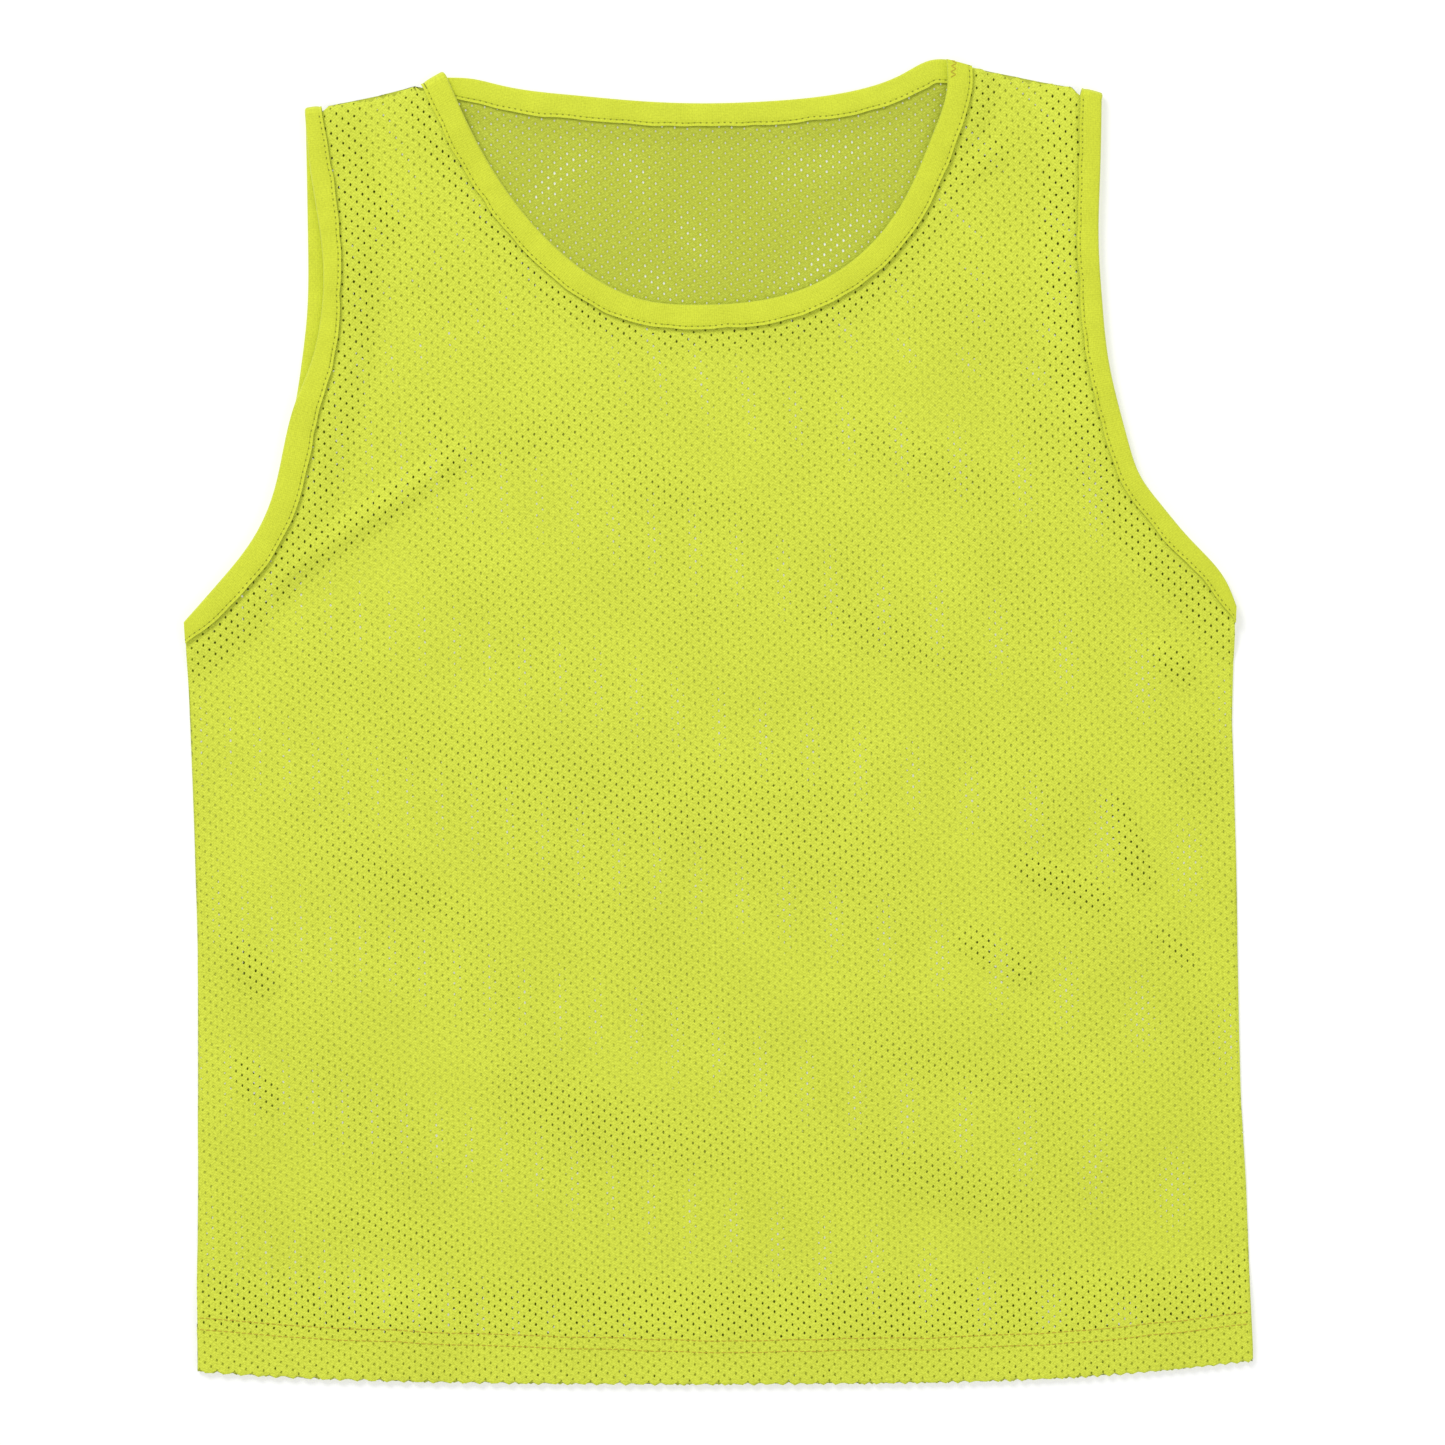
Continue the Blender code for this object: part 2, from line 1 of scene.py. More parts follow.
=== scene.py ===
"""Mesh training bib laid flat: net panels with real holes, folded bindings, sewing and a pale stage.

Lengths are in millimetres and become metres as each mesh is made. The garment's outline and
heights are worked out as its solids' are, and its hem is set at the back panel's lowest point.
"""

import bpy
import numpy as np
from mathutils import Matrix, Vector


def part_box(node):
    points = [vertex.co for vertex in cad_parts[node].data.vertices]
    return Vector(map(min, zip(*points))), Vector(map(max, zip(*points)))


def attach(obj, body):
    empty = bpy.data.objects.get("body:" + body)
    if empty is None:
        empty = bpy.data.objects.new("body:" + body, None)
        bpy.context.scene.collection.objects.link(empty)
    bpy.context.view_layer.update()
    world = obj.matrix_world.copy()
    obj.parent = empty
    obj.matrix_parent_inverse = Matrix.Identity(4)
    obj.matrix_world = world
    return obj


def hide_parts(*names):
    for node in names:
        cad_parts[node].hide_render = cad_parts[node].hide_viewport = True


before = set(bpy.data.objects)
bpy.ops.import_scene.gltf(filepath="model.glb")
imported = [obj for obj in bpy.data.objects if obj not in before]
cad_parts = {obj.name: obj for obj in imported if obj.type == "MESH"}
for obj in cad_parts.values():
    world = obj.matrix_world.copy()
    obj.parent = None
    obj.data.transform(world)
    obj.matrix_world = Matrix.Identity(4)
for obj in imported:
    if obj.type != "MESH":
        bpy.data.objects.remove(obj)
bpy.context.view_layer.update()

bl_info = {
    "name": "Mesh training bib",
    "version": (1, 0, 0),
    "blender": (4, 5, 0),
    "location": "3D View > Sidebar > Bib",
    "description": "Builds a mesh training bib laid flat",
    "category": "Object",
}

MM = 0.001

# The cloth's wall and the gap between sewn layers, as in the solids
WALL = 1.0
GAP = 0.3
LAYER = WALL + GAP
BOUND = 3 * WALL + 2 * GAP
OVER_BOUND = BOUND + GAP
FOLD_AXIS = BOUND + GAP / 2
PANEL_INSET = 1.4
NOSE_LENGTH = 1.4
RING_OFFSET = 0.8
TURN_LENGTH = 20.0

# How far a panel takes to come down from what lifts it
FRONT_REACH = 22.0
NECK_REACH = 14.0
BACK_REACH = 8.0
HEM_REACH = 35.0
HEM_FLAT = 26.0
HEM_DEPTH = 25.0
NECK_POINT_FLAT = 18.0
NECK_POINT_FALL = 40.0
FOLD_FADE_START = 14.0
FOLD_FADE_LENGTH = 12.0

# The height grid
GRID_LOW = np.array([-275.0, -340.0])
GRID_HIGH = np.array([275.0, 340.0])
GRID_STEP = 3.0
BLOCK = 6000

# Where each net lies in its wall, and the small arcs on which its rim and hem turn
FRONT_IN_WALL = 0.05
BACK_IN_WALL = 0.95
FRONT_ROLL = 0.45
BACK_ROLL = 0.15
HEM_TURN = 0.3
EDGE_WRAP = 1.1

# How far round the rim cells are made, and how uneven and how tall holes are
RIM_CELLS = 9.5
HOLE_UNEVEN = 0.08
HOLE_TALLNESS = 1.4

# Holes of the back inside the neck: their size where the cloth is slack and where it is stretched
NECK_HOLES_FROM = 190.0
SLACK_HOLE = 0.76
STRETCHED_HOLE = 1.02
STRETCHED_DIP = 0.35

# Holes at the hem's fold and beside a seam: their size, and how far in they stay small
FOLD_HOLE = 0.3
FOLD_HALF = 1.7
SEAM_HOLE = 0.5
SEAM_REACH = 2.4

# Finer steps and unevenness of the bindings
TAPE_STEP = 2.5
TURN_STEPS = 14
EDGE_RAGGED = 0.32
TAPE_PUCKER = 0.13

# Sewing
STITCH_PITCH = 3.0
STITCH_LENGTH = 2.35
STITCH_INSET = 1.7
STITCH_SUNK = 0.28
HEM_GAUGE = 5.8
HEM_RAGGED = 0.3
TACK_LENGTH = 3.0

SEED = 7

# Side seams. Columns: y, x
LEFT_SIDE = (
    (50.0, -267.0),
    (39.5, -266.3),
    (11.0, -264.8),
    (-49.0, -262.5),
    (-109.0, -260.6),
    (-229.0, -260.5),
    (-289.0, -261.0),
    (-325.0, -260.7),
)
RIGHT_SIDE = (
    (58.0, 258.2),
    (41.0, 257.5),
    (1.0, 256.5),
    (-29.0, 257.5),
    (-69.0, 258.5),
    (-149.0, 260.0),
    (-189.0, 261.0),
    (-229.0, 263.5),
    (-289.0, 265.6),
    (-319.5, 267.0),
)

# Hem fold. Columns: x, y
HEM_LINE = (
    (-260.7, -325.2),
    (-214.5, -328.0),
    (-139.5, -330.4),
    (-64.5, -331.3),
    (-14.5, -331.5),
    (60.5, -331.1),
    (160.5, -328.9),
    (210.5, -325.6),
    (267.0, -319.7),
)

# Lower hem stitch above the fold. Columns: x, height
HEM_STITCH = (
    (-262.0, 22.0),
    (-150.0, 20.0),
    (0.0, 17.0),
    (150.0, 18.0),
    (266.0, 19.5),
)

# The zigzag tack at the neck's right point. Columns: x, y
TACK = (
    (116.2, 330.0),
    (118.6, 328.6),
    (115.8, 327.2),
    (118.4, 325.8),
    (115.6, 324.4),
    (118.2, 323.0),
    (115.4, 321.6),
)

# Shoulder seams between the bindings, from the neck outwards. Columns: x, y
LEFT_SEAM = ((-151.8, 317.9), (-169.5, 313.2), (-183.0, 310.4), (-195.3, 308.0))
RIGHT_SEAM = ((133.0, 325.6), (146.0, 323.0), (160.5, 320.0), (176.5, 317.2))
BACK_NECK_CORNER = (121.8, 328.7)

# Folded edge of each binding, from one end of its run to the other. Columns: x, y, width
NECK_FRONT = (
    (113.5, 330.8, 13.2),
    (114.0, 318.5, 12.5),
    (106.5, 293.0, 12.5),
    (91.0, 258.5, 12.5),
    (62.0, 227.0, 12.5),
    (35.0, 214.0, 12.5),
    (-10.0, 208.5, 12.5),
    (-38.0, 211.0, 12.5),
    (-71.5, 228.5, 12.5),
    (-105.0, 264.0, 12.5),
    (-122.0, 292.0, 12.5),
    (-135.8, 322.0, 13.1),
)
NECK_BACK = (
    (-135.8, 322.0, 13.1),
    (-124.5, 321.6, 12.0),
    (-109.5, 318.3, 12.0),
    (-72.0, 313.2, 12.0),
    (-42.0, 310.5, 12.0),
    (-9.5, 309.2, 12.0),
    (25.5, 310.3, 12.0),
    (70.5, 316.2, 12.0),
    (92.0, 324.0, 12.0),
    (107.0, 331.0, 12.0),
    (118.0, 330.6, 12.0),
)
LEFT_ARM_FRONT = (
    (-267.0, 50.0, 10.8),
    (-248.5, 71.0, 12.7),
    (-233.0, 91.0, 13.0),
    (-223.5, 111.0, 13.3),
    (-218.5, 131.0, 13.8),
    (-212.0, 158.0, 13.3),
    (-204.5, 177.0, 11.5),
    (-199.5, 197.0, 9.8),
    (-197.6, 228.0, 9.2),
    (-200.0, 250.0, 10.5),
    (-204.6, 280.0, 10.5),
    (-206.6, 303.0, 8.5),
)
LEFT_ARM_BACK = (
    (-206.6, 303.0, 8.5),
    (-206.2, 285.0, 11.0),
    (-205.4, 240.0, 12.0),
    (-205.8, 205.0, 12.0),
    (-208.5, 180.0, 12.0),
    (-212.0, 158.0, 12.0),
    (-218.5, 131.0, 12.0),
    (-223.5, 111.0, 12.0),
    (-233.0, 91.0, 12.0),
    (-248.5, 71.0, 12.0),
    (-267.0, 50.0, 10.8),
)
RIGHT_ARM = (
    (258.2, 58.0, 8.5),
    (253.0, 70.5, 9.0),
    (235.5, 91.0, 10.0),
    (219.5, 110.0, 10.0),
    (210.5, 122.5, 10.0),
    (204.0, 141.0, 10.5),
    (198.7, 161.0, 11.0),
    (194.4, 181.0, 11.0),
    (191.2, 211.0, 11.0),
    (189.5, 240.0, 10.8),
    (190.3, 275.0, 10.8),
    (191.0, 310.4, 11.0),
)

# Ways of the end sections, from the folded edge to the stitched one
LEFT_TIP_WAY = (0.995, 0.1)
RIGHT_TIP_WAY = (-0.971, 0.239)
LEFT_NECK_WAY = (-0.858, -0.514)
RIGHT_NECK_WAY = (0.965, -0.262)
LEFT_SIDE_WAY = (0.067, -0.998)
RIGHT_SIDE_WAY = (-0.041, -0.999)

# Main creases, as in the solids. Columns: start x, start y, end x, end y, height, half width
RIPPLES = (
    (-238.0, 60.0, -118.0, 142.0, 3.0, 11.0),
    (-196.0, 288.0, -158.0, 240.0, 2.4, 13.0),
    (112.0, 268.0, 146.0, 290.0, 2.0, 11.0),
    (216.0, 40.0, 240.0, 18.0, 2.2, 11.0),
    (193.0, -34.0, 215.0, -86.0, 2.6, 11.0),
    (146.0, -68.0, 198.0, -92.0, 2.2, 11.0),
    (118.0, -104.0, 160.0, -130.0, 1.8, 13.0),
    (-254.0, -100.0, -222.0, -136.0, 2.2, 12.0),
    (-250.0, -164.0, -218.0, -194.0, 2.0, 12.0),
    (-178.0, -8.0, 100.0, -70.0, 0.6, 34.0),
)

# Finer creases that only the cloth has, with the same columns. Troughs are below nought
CREASES = (
    (-232.0, 48.0, -150.0, 84.0, -0.5, 9.0),
    (-218.0, 78.0, -120.0, 148.0, -0.5, 8.0),
    (-162.0, 101.0, -158.0, 60.0, -0.5, 7.0),
    (-150.0, 168.0, -128.0, 120.0, 0.6, 12.0),
    (-188.0, 268.0, -172.0, 214.0, -0.5, 9.0),
    (104.0, 250.0, 128.0, 262.0, 0.5, 8.0),
    (222.0, 32.0, 236.0, 4.0, -0.5, 8.0),
    (180.0, -34.0, 214.0, -80.0, -0.6, 7.0),
    (152.0, -60.0, 196.0, -90.0, -0.5, 7.0),
    (214.0, -100.0, 246.0, -128.0, 0.9, 9.0),
    (120.0, -116.0, 156.0, -140.0, -0.4, 9.0),
    (-246.0, -88.0, -226.0, -130.0, -0.5, 8.0),
    (-236.0, -160.0, -212.0, -190.0, -0.4, 8.0),
    (60.0, 150.0, 150.0, 110.0, 0.5, 18.0),
    (-60.0, 130.0, 40.0, 90.0, 0.5, 22.0),
    (-120.0, -180.0, 20.0, -220.0, 0.6, 26.0),
    (60.0, -210.0, 170.0, -250.0, 0.6, 22.0),
    (-210.0, -240.0, -110.0, -270.0, 0.5, 16.0),
    (150.0, 180.0, 170.0, 120.0, 0.5, 12.0),
    (-30.0, -20.0, 80.0, -40.0, 0.4, 20.0),
)

# Troughs of the back, which lies face down, with the same columns
BACK_CREASES = (
    (-150.0, 120.0, -60.0, 150.0, -0.5, 16.0),
    (40.0, 60.0, 140.0, 20.0, -0.5, 18.0),
    (-200.0, -60.0, -100.0, -110.0, -0.5, 16.0),
    (60.0, -160.0, 180.0, -190.0, -0.4, 16.0),
)

# Stretched patches of the back inside the neck. Columns: ends, share, half width
STRETCHED = (
    (-62.0, 292.0, -98.0, 252.0, 1.0, 15.0),
    (-50.0, 294.0, -36.0, 258.0, 0.8, 12.0),
    (-22.0, 256.0, -4.0, 226.0, 0.9, 12.0),
    (-46.0, 232.0, -16.0, 208.0, 0.9, 11.0),
    (10.0, 262.0, 96.0, 298.0, 0.8, 15.0),
    (26.0, 208.0, 84.0, 264.0, 1.0, 18.0),
)

# The camera: its lens, what it takes in, and the point that it looks straight down on
LENS = 150.0
SENSOR = 36.0
VIEW_WIDTH = 722.5
VIEW_MIDDLE = (1.75, -0.25)


def smoothstep(value):
    """Nought below 0, one above 1, and a soft S between."""
    share = np.clip(value, 0.0, 1.0)
    return share * share * (3.0 - 2.0 * share)


def unit(vectors):
    """Vectors of length one."""
    vectors = np.asarray(vectors, dtype=float)
    return vectors / np.linalg.norm(vectors, axis=-1, keepdims=True)


def spline(knots, values, places):
    """Natural cubic through the values at the knots, read at the places."""
    steps = np.diff(knots)
    slopes = np.diff(values, axis=0) / steps[:, None]
    system = np.eye(len(knots))
    load = np.zeros_like(values)
    for k in range(1, len(knots) - 1):
        system[k, k - 1] = steps[k - 1]
        system[k, k] = 2.0 * (steps[k - 1] + steps[k])
        system[k, k + 1] = steps[k]
        load[k] = 6.0 * (slopes[k] - slopes[k - 1])
    bends = np.linalg.solve(system, load)
    cell = np.clip(np.searchsorted(knots, places) - 1, 0, len(steps) - 1)
    step = steps[cell][:, None]
    after = (places - knots[cell])[:, None]
    before = step - after
    return (
        bends[cell] * before**3 / (6.0 * step)
        + bends[cell + 1] * after**3 / (6.0 * step)
        + (values[cell] / step - bends[cell] * step / 6.0) * before
        + (values[cell + 1] / step - bends[cell + 1] * step / 6.0) * after
    )


def path_lengths(points):
    """Length of the path up to each of its points."""
    steps = np.linalg.norm(np.diff(points[:, :2], axis=0), axis=1)
    return np.concatenate(([0.0], np.cumsum(steps)))


def even_curve(rows, step):
    """A smooth curve through the rows, read at even steps of its length."""
    rows = np.array(rows, dtype=float)
    knots = path_lengths(rows)
    fine = spline(knots, rows, np.linspace(0.0, knots[-1], 40 * len(rows)))
    lengths = path_lengths(fine)
    places = np.linspace(0.0, lengths[-1], round(lengths[-1] / step) + 1)
    columns = [np.interp(places, lengths, fine[:, k]) for k in range(rows.shape[1])]
    return np.stack(columns, axis=1)


def nearest_on_line(points, line):
    """Distance to a line of straight stretches, the place along it and the nearest point."""
    start = line[:-1]
    along = np.diff(line, axis=0)
    square = (along * along).sum(-1)
    found = []
    for block in np.array_split(points, len(points) // BLOCK + 1):
        away = block[:, None] - start[None]
        share = np.clip((away * along[None]).sum(-1) / square, 0.0, 1.0)
        distance = np.linalg.norm(away - along[None] * share[..., None], axis=-1)
        nearest = distance.argmin(axis=1)
        rows = np.arange(len(block))
        at = share[rows, nearest]
        point = start[nearest] + along[nearest] * at[:, None]
        found.append(np.column_stack([distance[rows, nearest], nearest + at, point]))
    found = np.concatenate(found)
    return found[:, 0], found[:, 1], found[:, 2:]


def inside(points, polygon):
    """True for each point that a ray from it crosses the polygon's rim an odd number of times."""
    second = np.roll(polygon, -1, axis=0)
    found = []
    for block in np.array_split(points, len(points) // BLOCK + 1):
        x = block[:, None, 0]
        y = block[:, None, 1]
        spans = (polygon[None, :, 1] > y) != (second[None, :, 1] > y)
        rise = np.where(spans, second[None, :, 1] - polygon[None, :, 1], 1.0)
        run = second[None, :, 0] - polygon[None, :, 0]
        crossing = polygon[None, :, 0] + (y - polygon[None, :, 1]) * run / rise
        found.append((spans & (x < crossing)).sum(axis=1) % 2 == 1)
    return np.concatenate(found)


def ragged(arc, size, spacing, seed=SEED):
    """Uneven values along an arc: drawn at even knots, joined, and nought at both ends."""
    knots = np.arange(0.0, arc[-1] + spacing, spacing)
    drawn = np.random.default_rng(seed).normal(0.0, size, len(knots))
    fade = smoothstep(np.minimum(arc, arc[-1] - arc) / TURN_LENGTH)
    return np.interp(arc, knots, drawn) * fade


class Run:
    """One run of binding: its folded edge, the way to its stitched edge, and its width."""

    def __init__(self, rows, cloth_side, start_way, end_way, step=TAPE_STEP):
        points = even_curve(rows, step)
        self.edge = points[:, :2]
        self.width = points[:, 2]
        heading = unit(np.gradient(self.edge, axis=0))
        across = cloth_side * np.stack([-heading[:, 1], heading[:, 0]], axis=1)
        arc = path_lengths(self.edge)
        for way, away in ((start_way, arc), (end_way, arc[-1] - arc)):
            if way is not None:
                share = smoothstep(1.0 - away / TURN_LENGTH)[:, None]
                across = unit(across * (1.0 - share) + unit(way) * share)
        self.across = across
        self.arc = arc
        self.sewn_width = self.width + ragged(arc, EDGE_RAGGED, 7.0)

    def sewn_line(self, height):
        """The stitches' path on the binding, at a height for each station."""
        flat = self.line((self.sewn_width - STITCH_INSET)[:, None])
        return np.column_stack([flat, height + 0.0 * self.arc])

    def line(self, inset):
        """The line that lies this far inside the folded edge."""
        return self.edge + self.across * inset

    def stitch_line(self, inset=-RING_OFFSET):
        """The line this far inside the stitched edge."""
        return self.line((self.width - inset)[:, None])

    def lift(self, points, height, reach):
        """Full height under the binding, falling softly to nothing at the reach."""
        line = self.stitch_line()
        polygon = np.concatenate([self.edge, line[::-1]])
        low = polygon.min(axis=0) - reach
        high = polygon.max(axis=0) + reach
        near = ((points > low) & (points < high)).all(axis=1)
        close = points[near]
        distance, _, _ = nearest_on_line(close, np.concatenate([polygon, polygon[:1]]))
        distance = np.where(inside(close, polygon), 0.0, distance)
        _, place, _ = nearest_on_line(close, line)
        target = np.interp(place, np.arange(len(line)), height)
        lifted = np.zeros(len(points))
        lifted[near] = target * (1.0 - smoothstep(distance / reach))
        return lifted


def left_side(y):
    """X of the left side seam."""
    rows = np.array(LEFT_SIDE[::-1])
    return np.interp(y, rows[:, 0], rows[:, 1])


def right_side(y):
    """X of the right side seam."""
    rows = np.array(RIGHT_SIDE[::-1])
    return np.interp(y, rows[:, 0], rows[:, 1])


def hem_height(x):
    """Y of the hem fold."""
    rows = np.array(HEM_LINE)
    x = np.clip(np.atleast_1d(x), rows[0, 0], rows[-1, 0])
    return spline(rows[:, 0], rows[:, 1:], x)[:, 0]


def outward_of(way):
    """The way square to an end section that points off the garment's top."""
    turned = np.array([-way[1], way[0]])
    return unit(turned if turned[1] > 0 else -turned)


def crease_height(points, rows):
    """Sum of soft creases: a hump or trough along each line, rounded across it."""
    total = np.zeros(len(points))
    for start_x, start_y, end_x, end_y, height, half in rows:
        start = np.array([start_x, start_y])
        span = np.array([end_x, end_y]) - start
        length = np.linalg.norm(span)
        away = points - start
        along = away @ span / length**2
        across = (away[:, 0] * span[1] - away[:, 1] * span[0]) / length
        hump = np.clip(1.0 - (2.0 * along - 1.0) ** 2, 0.0, 1.0)
        ridge = 0.5 + 0.5 * np.cos(np.pi * np.clip(np.abs(across) / half, 0.0, 1.0))
        total += height * hump * ridge
    return total


def stretched(points):
    """How far the back is stretched inside the neck: nought in slack cloth, one at most."""
    return np.minimum(crease_height(points, STRETCHED), 1.0)


def in_neck(points):
    """How far each point of the back is inside the neck: one there, nought below it."""
    return smoothstep((points[:, 1] - NECK_HOLES_FROM) / 20.0)


def at_fold(points):
    """Shrinks the holes on the hem's fold, where the cloth is bent on itself."""
    off = (points[:, 1] - hem_height(points[:, 0])) / FOLD_HALF
    return 1.0 - (1.0 - FOLD_HOLE) * np.exp(-off * off)


def front_hole_size(points):
    """Size of the front's holes: even but for the hem's fold."""
    return at_fold(points)


def back_hole_size(points):
    """Size of the back's holes: even under the front, larger where stretched in the neck."""
    bare = SLACK_HOLE + (STRETCHED_HOLE - SLACK_HOLE) * stretched(points)
    return (1.0 + (bare - 1.0) * in_neck(points)) * at_fold(points)


def unevenness(points, size):
    """A slow swell of the cloth: a sum of long waves that cross at uneven angles."""
    draw = np.random.default_rng(SEED)
    total = np.zeros(len(points))
    for _ in range(9):
        angle = draw.uniform(0.0, np.pi)
        length = draw.uniform(45.0, 130.0)
        phase = draw.uniform(0.0, 2.0 * np.pi)
        way = np.array([np.cos(angle), np.sin(angle)])
        total += np.sin(2.0 * np.pi * (points @ way) / length + phase)
    return size * total / 3.0


class HeightGrid:
    """Heights worked out once on an even grid and read between its points in both directions."""

    def __init__(self, function):
        self.counts = np.ceil((GRID_HIGH - GRID_LOW) / GRID_STEP).astype(int) + 1
        x = GRID_LOW[0] + GRID_STEP * np.arange(self.counts[0])
        y = GRID_LOW[1] + GRID_STEP * np.arange(self.counts[1])
        flat = np.stack(np.meshgrid(x, y, indexing="ij"), axis=-1).reshape(-1, 2)
        self.values = function(flat).reshape(self.counts)

    def at(self, points):
        """Height at each point."""
        place = np.clip((points - GRID_LOW) / GRID_STEP, 0.0, self.counts - 1.001)
        cell = place.astype(int)
        x, y = (place - cell).T
        i, j = cell.T
        near = self.values[i, j] * (1.0 - x) + self.values[i + 1, j] * x
        far = self.values[i, j + 1] * (1.0 - x) + self.values[i + 1, j + 1] * x
        return near * (1.0 - y) + far * y


class Bib:
    """The garment's runs, rims and heights, worked out once and shared by its pieces."""

    def __init__(self):
        self.neck_front = Run(NECK_FRONT, 1.0, RIGHT_NECK_WAY, LEFT_NECK_WAY)
        self.neck_back = Run(NECK_BACK, -1.0, LEFT_NECK_WAY, None)
        self.left_front = Run(LEFT_ARM_FRONT, -1.0, LEFT_SIDE_WAY, LEFT_TIP_WAY)
        self.left_back = Run(LEFT_ARM_BACK, 1.0, LEFT_TIP_WAY, LEFT_SIDE_WAY)
        self.right_front = Run(RIGHT_ARM, 1.0, RIGHT_SIDE_WAY, RIGHT_TIP_WAY)
        self.right_back = Run(RIGHT_ARM[::-1], -1.0, RIGHT_TIP_WAY, RIGHT_SIDE_WAY)
        arc = self.neck_front.arc
        from_end = np.minimum(arc, arc[-1] - arc)
        drop = smoothstep((from_end - NECK_POINT_FLAT) / NECK_POINT_FALL)
        self.neck_base = OVER_BOUND + (LAYER - OVER_BOUND) * drop
        self.front_rim = self.rim(
            self.right_front, self.neck_front, self.left_front, self.neck_front.stitch_line()[:1]
        )
        self.back_rim = self.rim(
            self.right_front,
            Run(NECK_BACK[::-1], 1.0, None, LEFT_NECK_WAY),
            Run(LEFT_ARM_BACK[::-1], -1.0, LEFT_SIDE_WAY, LEFT_TIP_WAY),
            np.array([BACK_NECK_CORNER]),
        )
        self.front_height = HeightGrid(self.front_low)
        self.back_height = HeightGrid(self.back_low)
        hem_x = np.linspace(HEM_LINE[0][0], HEM_LINE[-1][0], 200)
        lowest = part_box("back_panel")[0][1] / MM
        self.shift = np.array([0.0, lowest - hem_height(hem_x).min(), 0.0])

    def flap_sides(self, side, corner):
        """A side seam's points up from the hem, and the same turned over for the hem's flap."""
        up = np.arange(corner + 8.0, 34.0, 12.0)
        rising = np.column_stack([side(up), up])
        depth = np.array([HEM_DEPTH, HEM_DEPTH / 2, 4.0])
        flap = np.column_stack([side(corner + depth), corner - depth])
        return flap, rising

    def rim(self, right_arm, neck, left_arm, neck_right_corner):
        """The cut panel's rim with its hem let down, counter-clockwise from the hem's left end."""
        left_corner = HEM_LINE[0][1]
        right_corner = HEM_LINE[-1][1]
        right_flap, right_up = self.flap_sides(right_side, right_corner)
        left_flap, left_up = self.flap_sides(left_side, left_corner)
        hem_x = np.linspace(HEM_LINE[0][0], HEM_LINE[-1][0], 60)[1:-1]
        raw = np.column_stack([hem_x, hem_height(hem_x) - HEM_DEPTH])
        parts = [
            left_flap[:1],
            raw,
            right_flap,
            right_up,
            right_arm.stitch_line()[:1],
            right_arm.line(PANEL_INSET)[::2],
            right_arm.stitch_line()[-1:],
            np.array(RIGHT_SEAM)[::-1],
            neck_right_corner,
            neck.line(PANEL_INSET)[::2],
            neck.stitch_line()[-1:],
            np.array(LEFT_SEAM),
            left_arm.stitch_line()[-1:],
            left_arm.line(PANEL_INSET)[::-1][::2],
            left_arm.stitch_line()[:1],
            left_up[::-1],
            left_flap[::-1][:-1],
        ]
        return np.concatenate(parts)

    def front_low(self, points):
        """Underside of the front's wall: the highest lift there, with the creases on it."""
        lifts = [
            self.neck_front.lift(points, self.neck_base, NECK_REACH),
            self.left_front.lift(
                points, np.full(len(self.left_front.edge), OVER_BOUND), FRONT_REACH
            ),
            self.right_front.lift(
                points, np.full(len(self.right_front.edge), OVER_BOUND), FRONT_REACH
            ),
        ]
        above_hem = points[:, 1] - hem_height(points[:, 0])
        lifts.append(2 * LAYER * (1.0 - smoothstep((above_hem - HEM_FLAT) / HEM_REACH)))
        rim = np.concatenate([self.front_rim, self.front_rim[:1]])
        distance, _, _ = nearest_on_line(points, rim)
        away = np.minimum(distance, np.maximum(above_hem, 0.0))
        fade = smoothstep((away - FOLD_FADE_START) / FOLD_FADE_LENGTH)
        soft = smoothstep(away / FOLD_FADE_START)
        folds = crease_height(points, RIPPLES) * fade
        fine = crease_height(points, CREASES) * fade + unevenness(points, 0.12) * soft
        return LAYER + np.max(lifts, axis=0) + folds + np.maximum(fine, -0.25)

    def back_low(self, points):
        """Underside of the back's wall: lifted under its bindings, else sunk in its troughs."""
        runs = (self.neck_back, self.left_back, self.right_back)
        lifts = [run.lift(points, np.full(len(run.edge), LAYER), BACK_REACH) for run in runs]
        sunk = crease_height(points, BACK_CREASES) - STRETCHED_DIP * stretched(points)
        return np.max(lifts, axis=0) + np.maximum(sunk, 0.1 - BACK_IN_WALL)


def front_phase(x, y):
    """Wale and course numbers of the front: straight wales, courses that rise to the right.

    Wales are 2.9 mm apart and lean a little. Courses are 2.8 mm apart and close up downwards.
    """
    wale = 0.3436 * x + 0.012 * y
    course = 0.357 * y - 0.00006 * y * y - 0.060 * x + 0.000045 * x * x
    return wale, course


def back_phase(x, y):
    """Wale and course numbers of the back, whose courses slope the other way.

    Above the front's neckline the cloth is pulled sideways, so wales part and courses close up.
    """
    free = smoothstep((y - 150.0) / 130.0)
    wale = (0.340 - 0.024 * free) * x
    pulled = 0.055 * 20.0 * np.log1p(np.exp((y - 190.0) / 20.0))
    course = 0.358 * y - 0.00005 * y * y + 0.033 * x - 0.00006 * x * x + pulled
    return wale, course


def place_of(phase, wale, course):
    """Points with these wale and course numbers, by Newton's steps on the phase."""
    x = wale / 0.34
    y = course / 0.36
    tiny = 0.01
    for _ in range(9):
        w, c = phase(x, y)
        w_x, c_x = phase(x + tiny, y)
        w_y, c_y = phase(x, y + tiny)
        a = (w_x - w) / tiny
        b = (w_y - w) / tiny
        d = (c_x - c) / tiny
        e = (c_y - c) / tiny
        off_w = wale - w
        off_c = course - c
        det = a * e - b * d
        x = x + (e * off_w - b * off_c) / det
        y = y + (a * off_c - d * off_w) / det
    return x, y


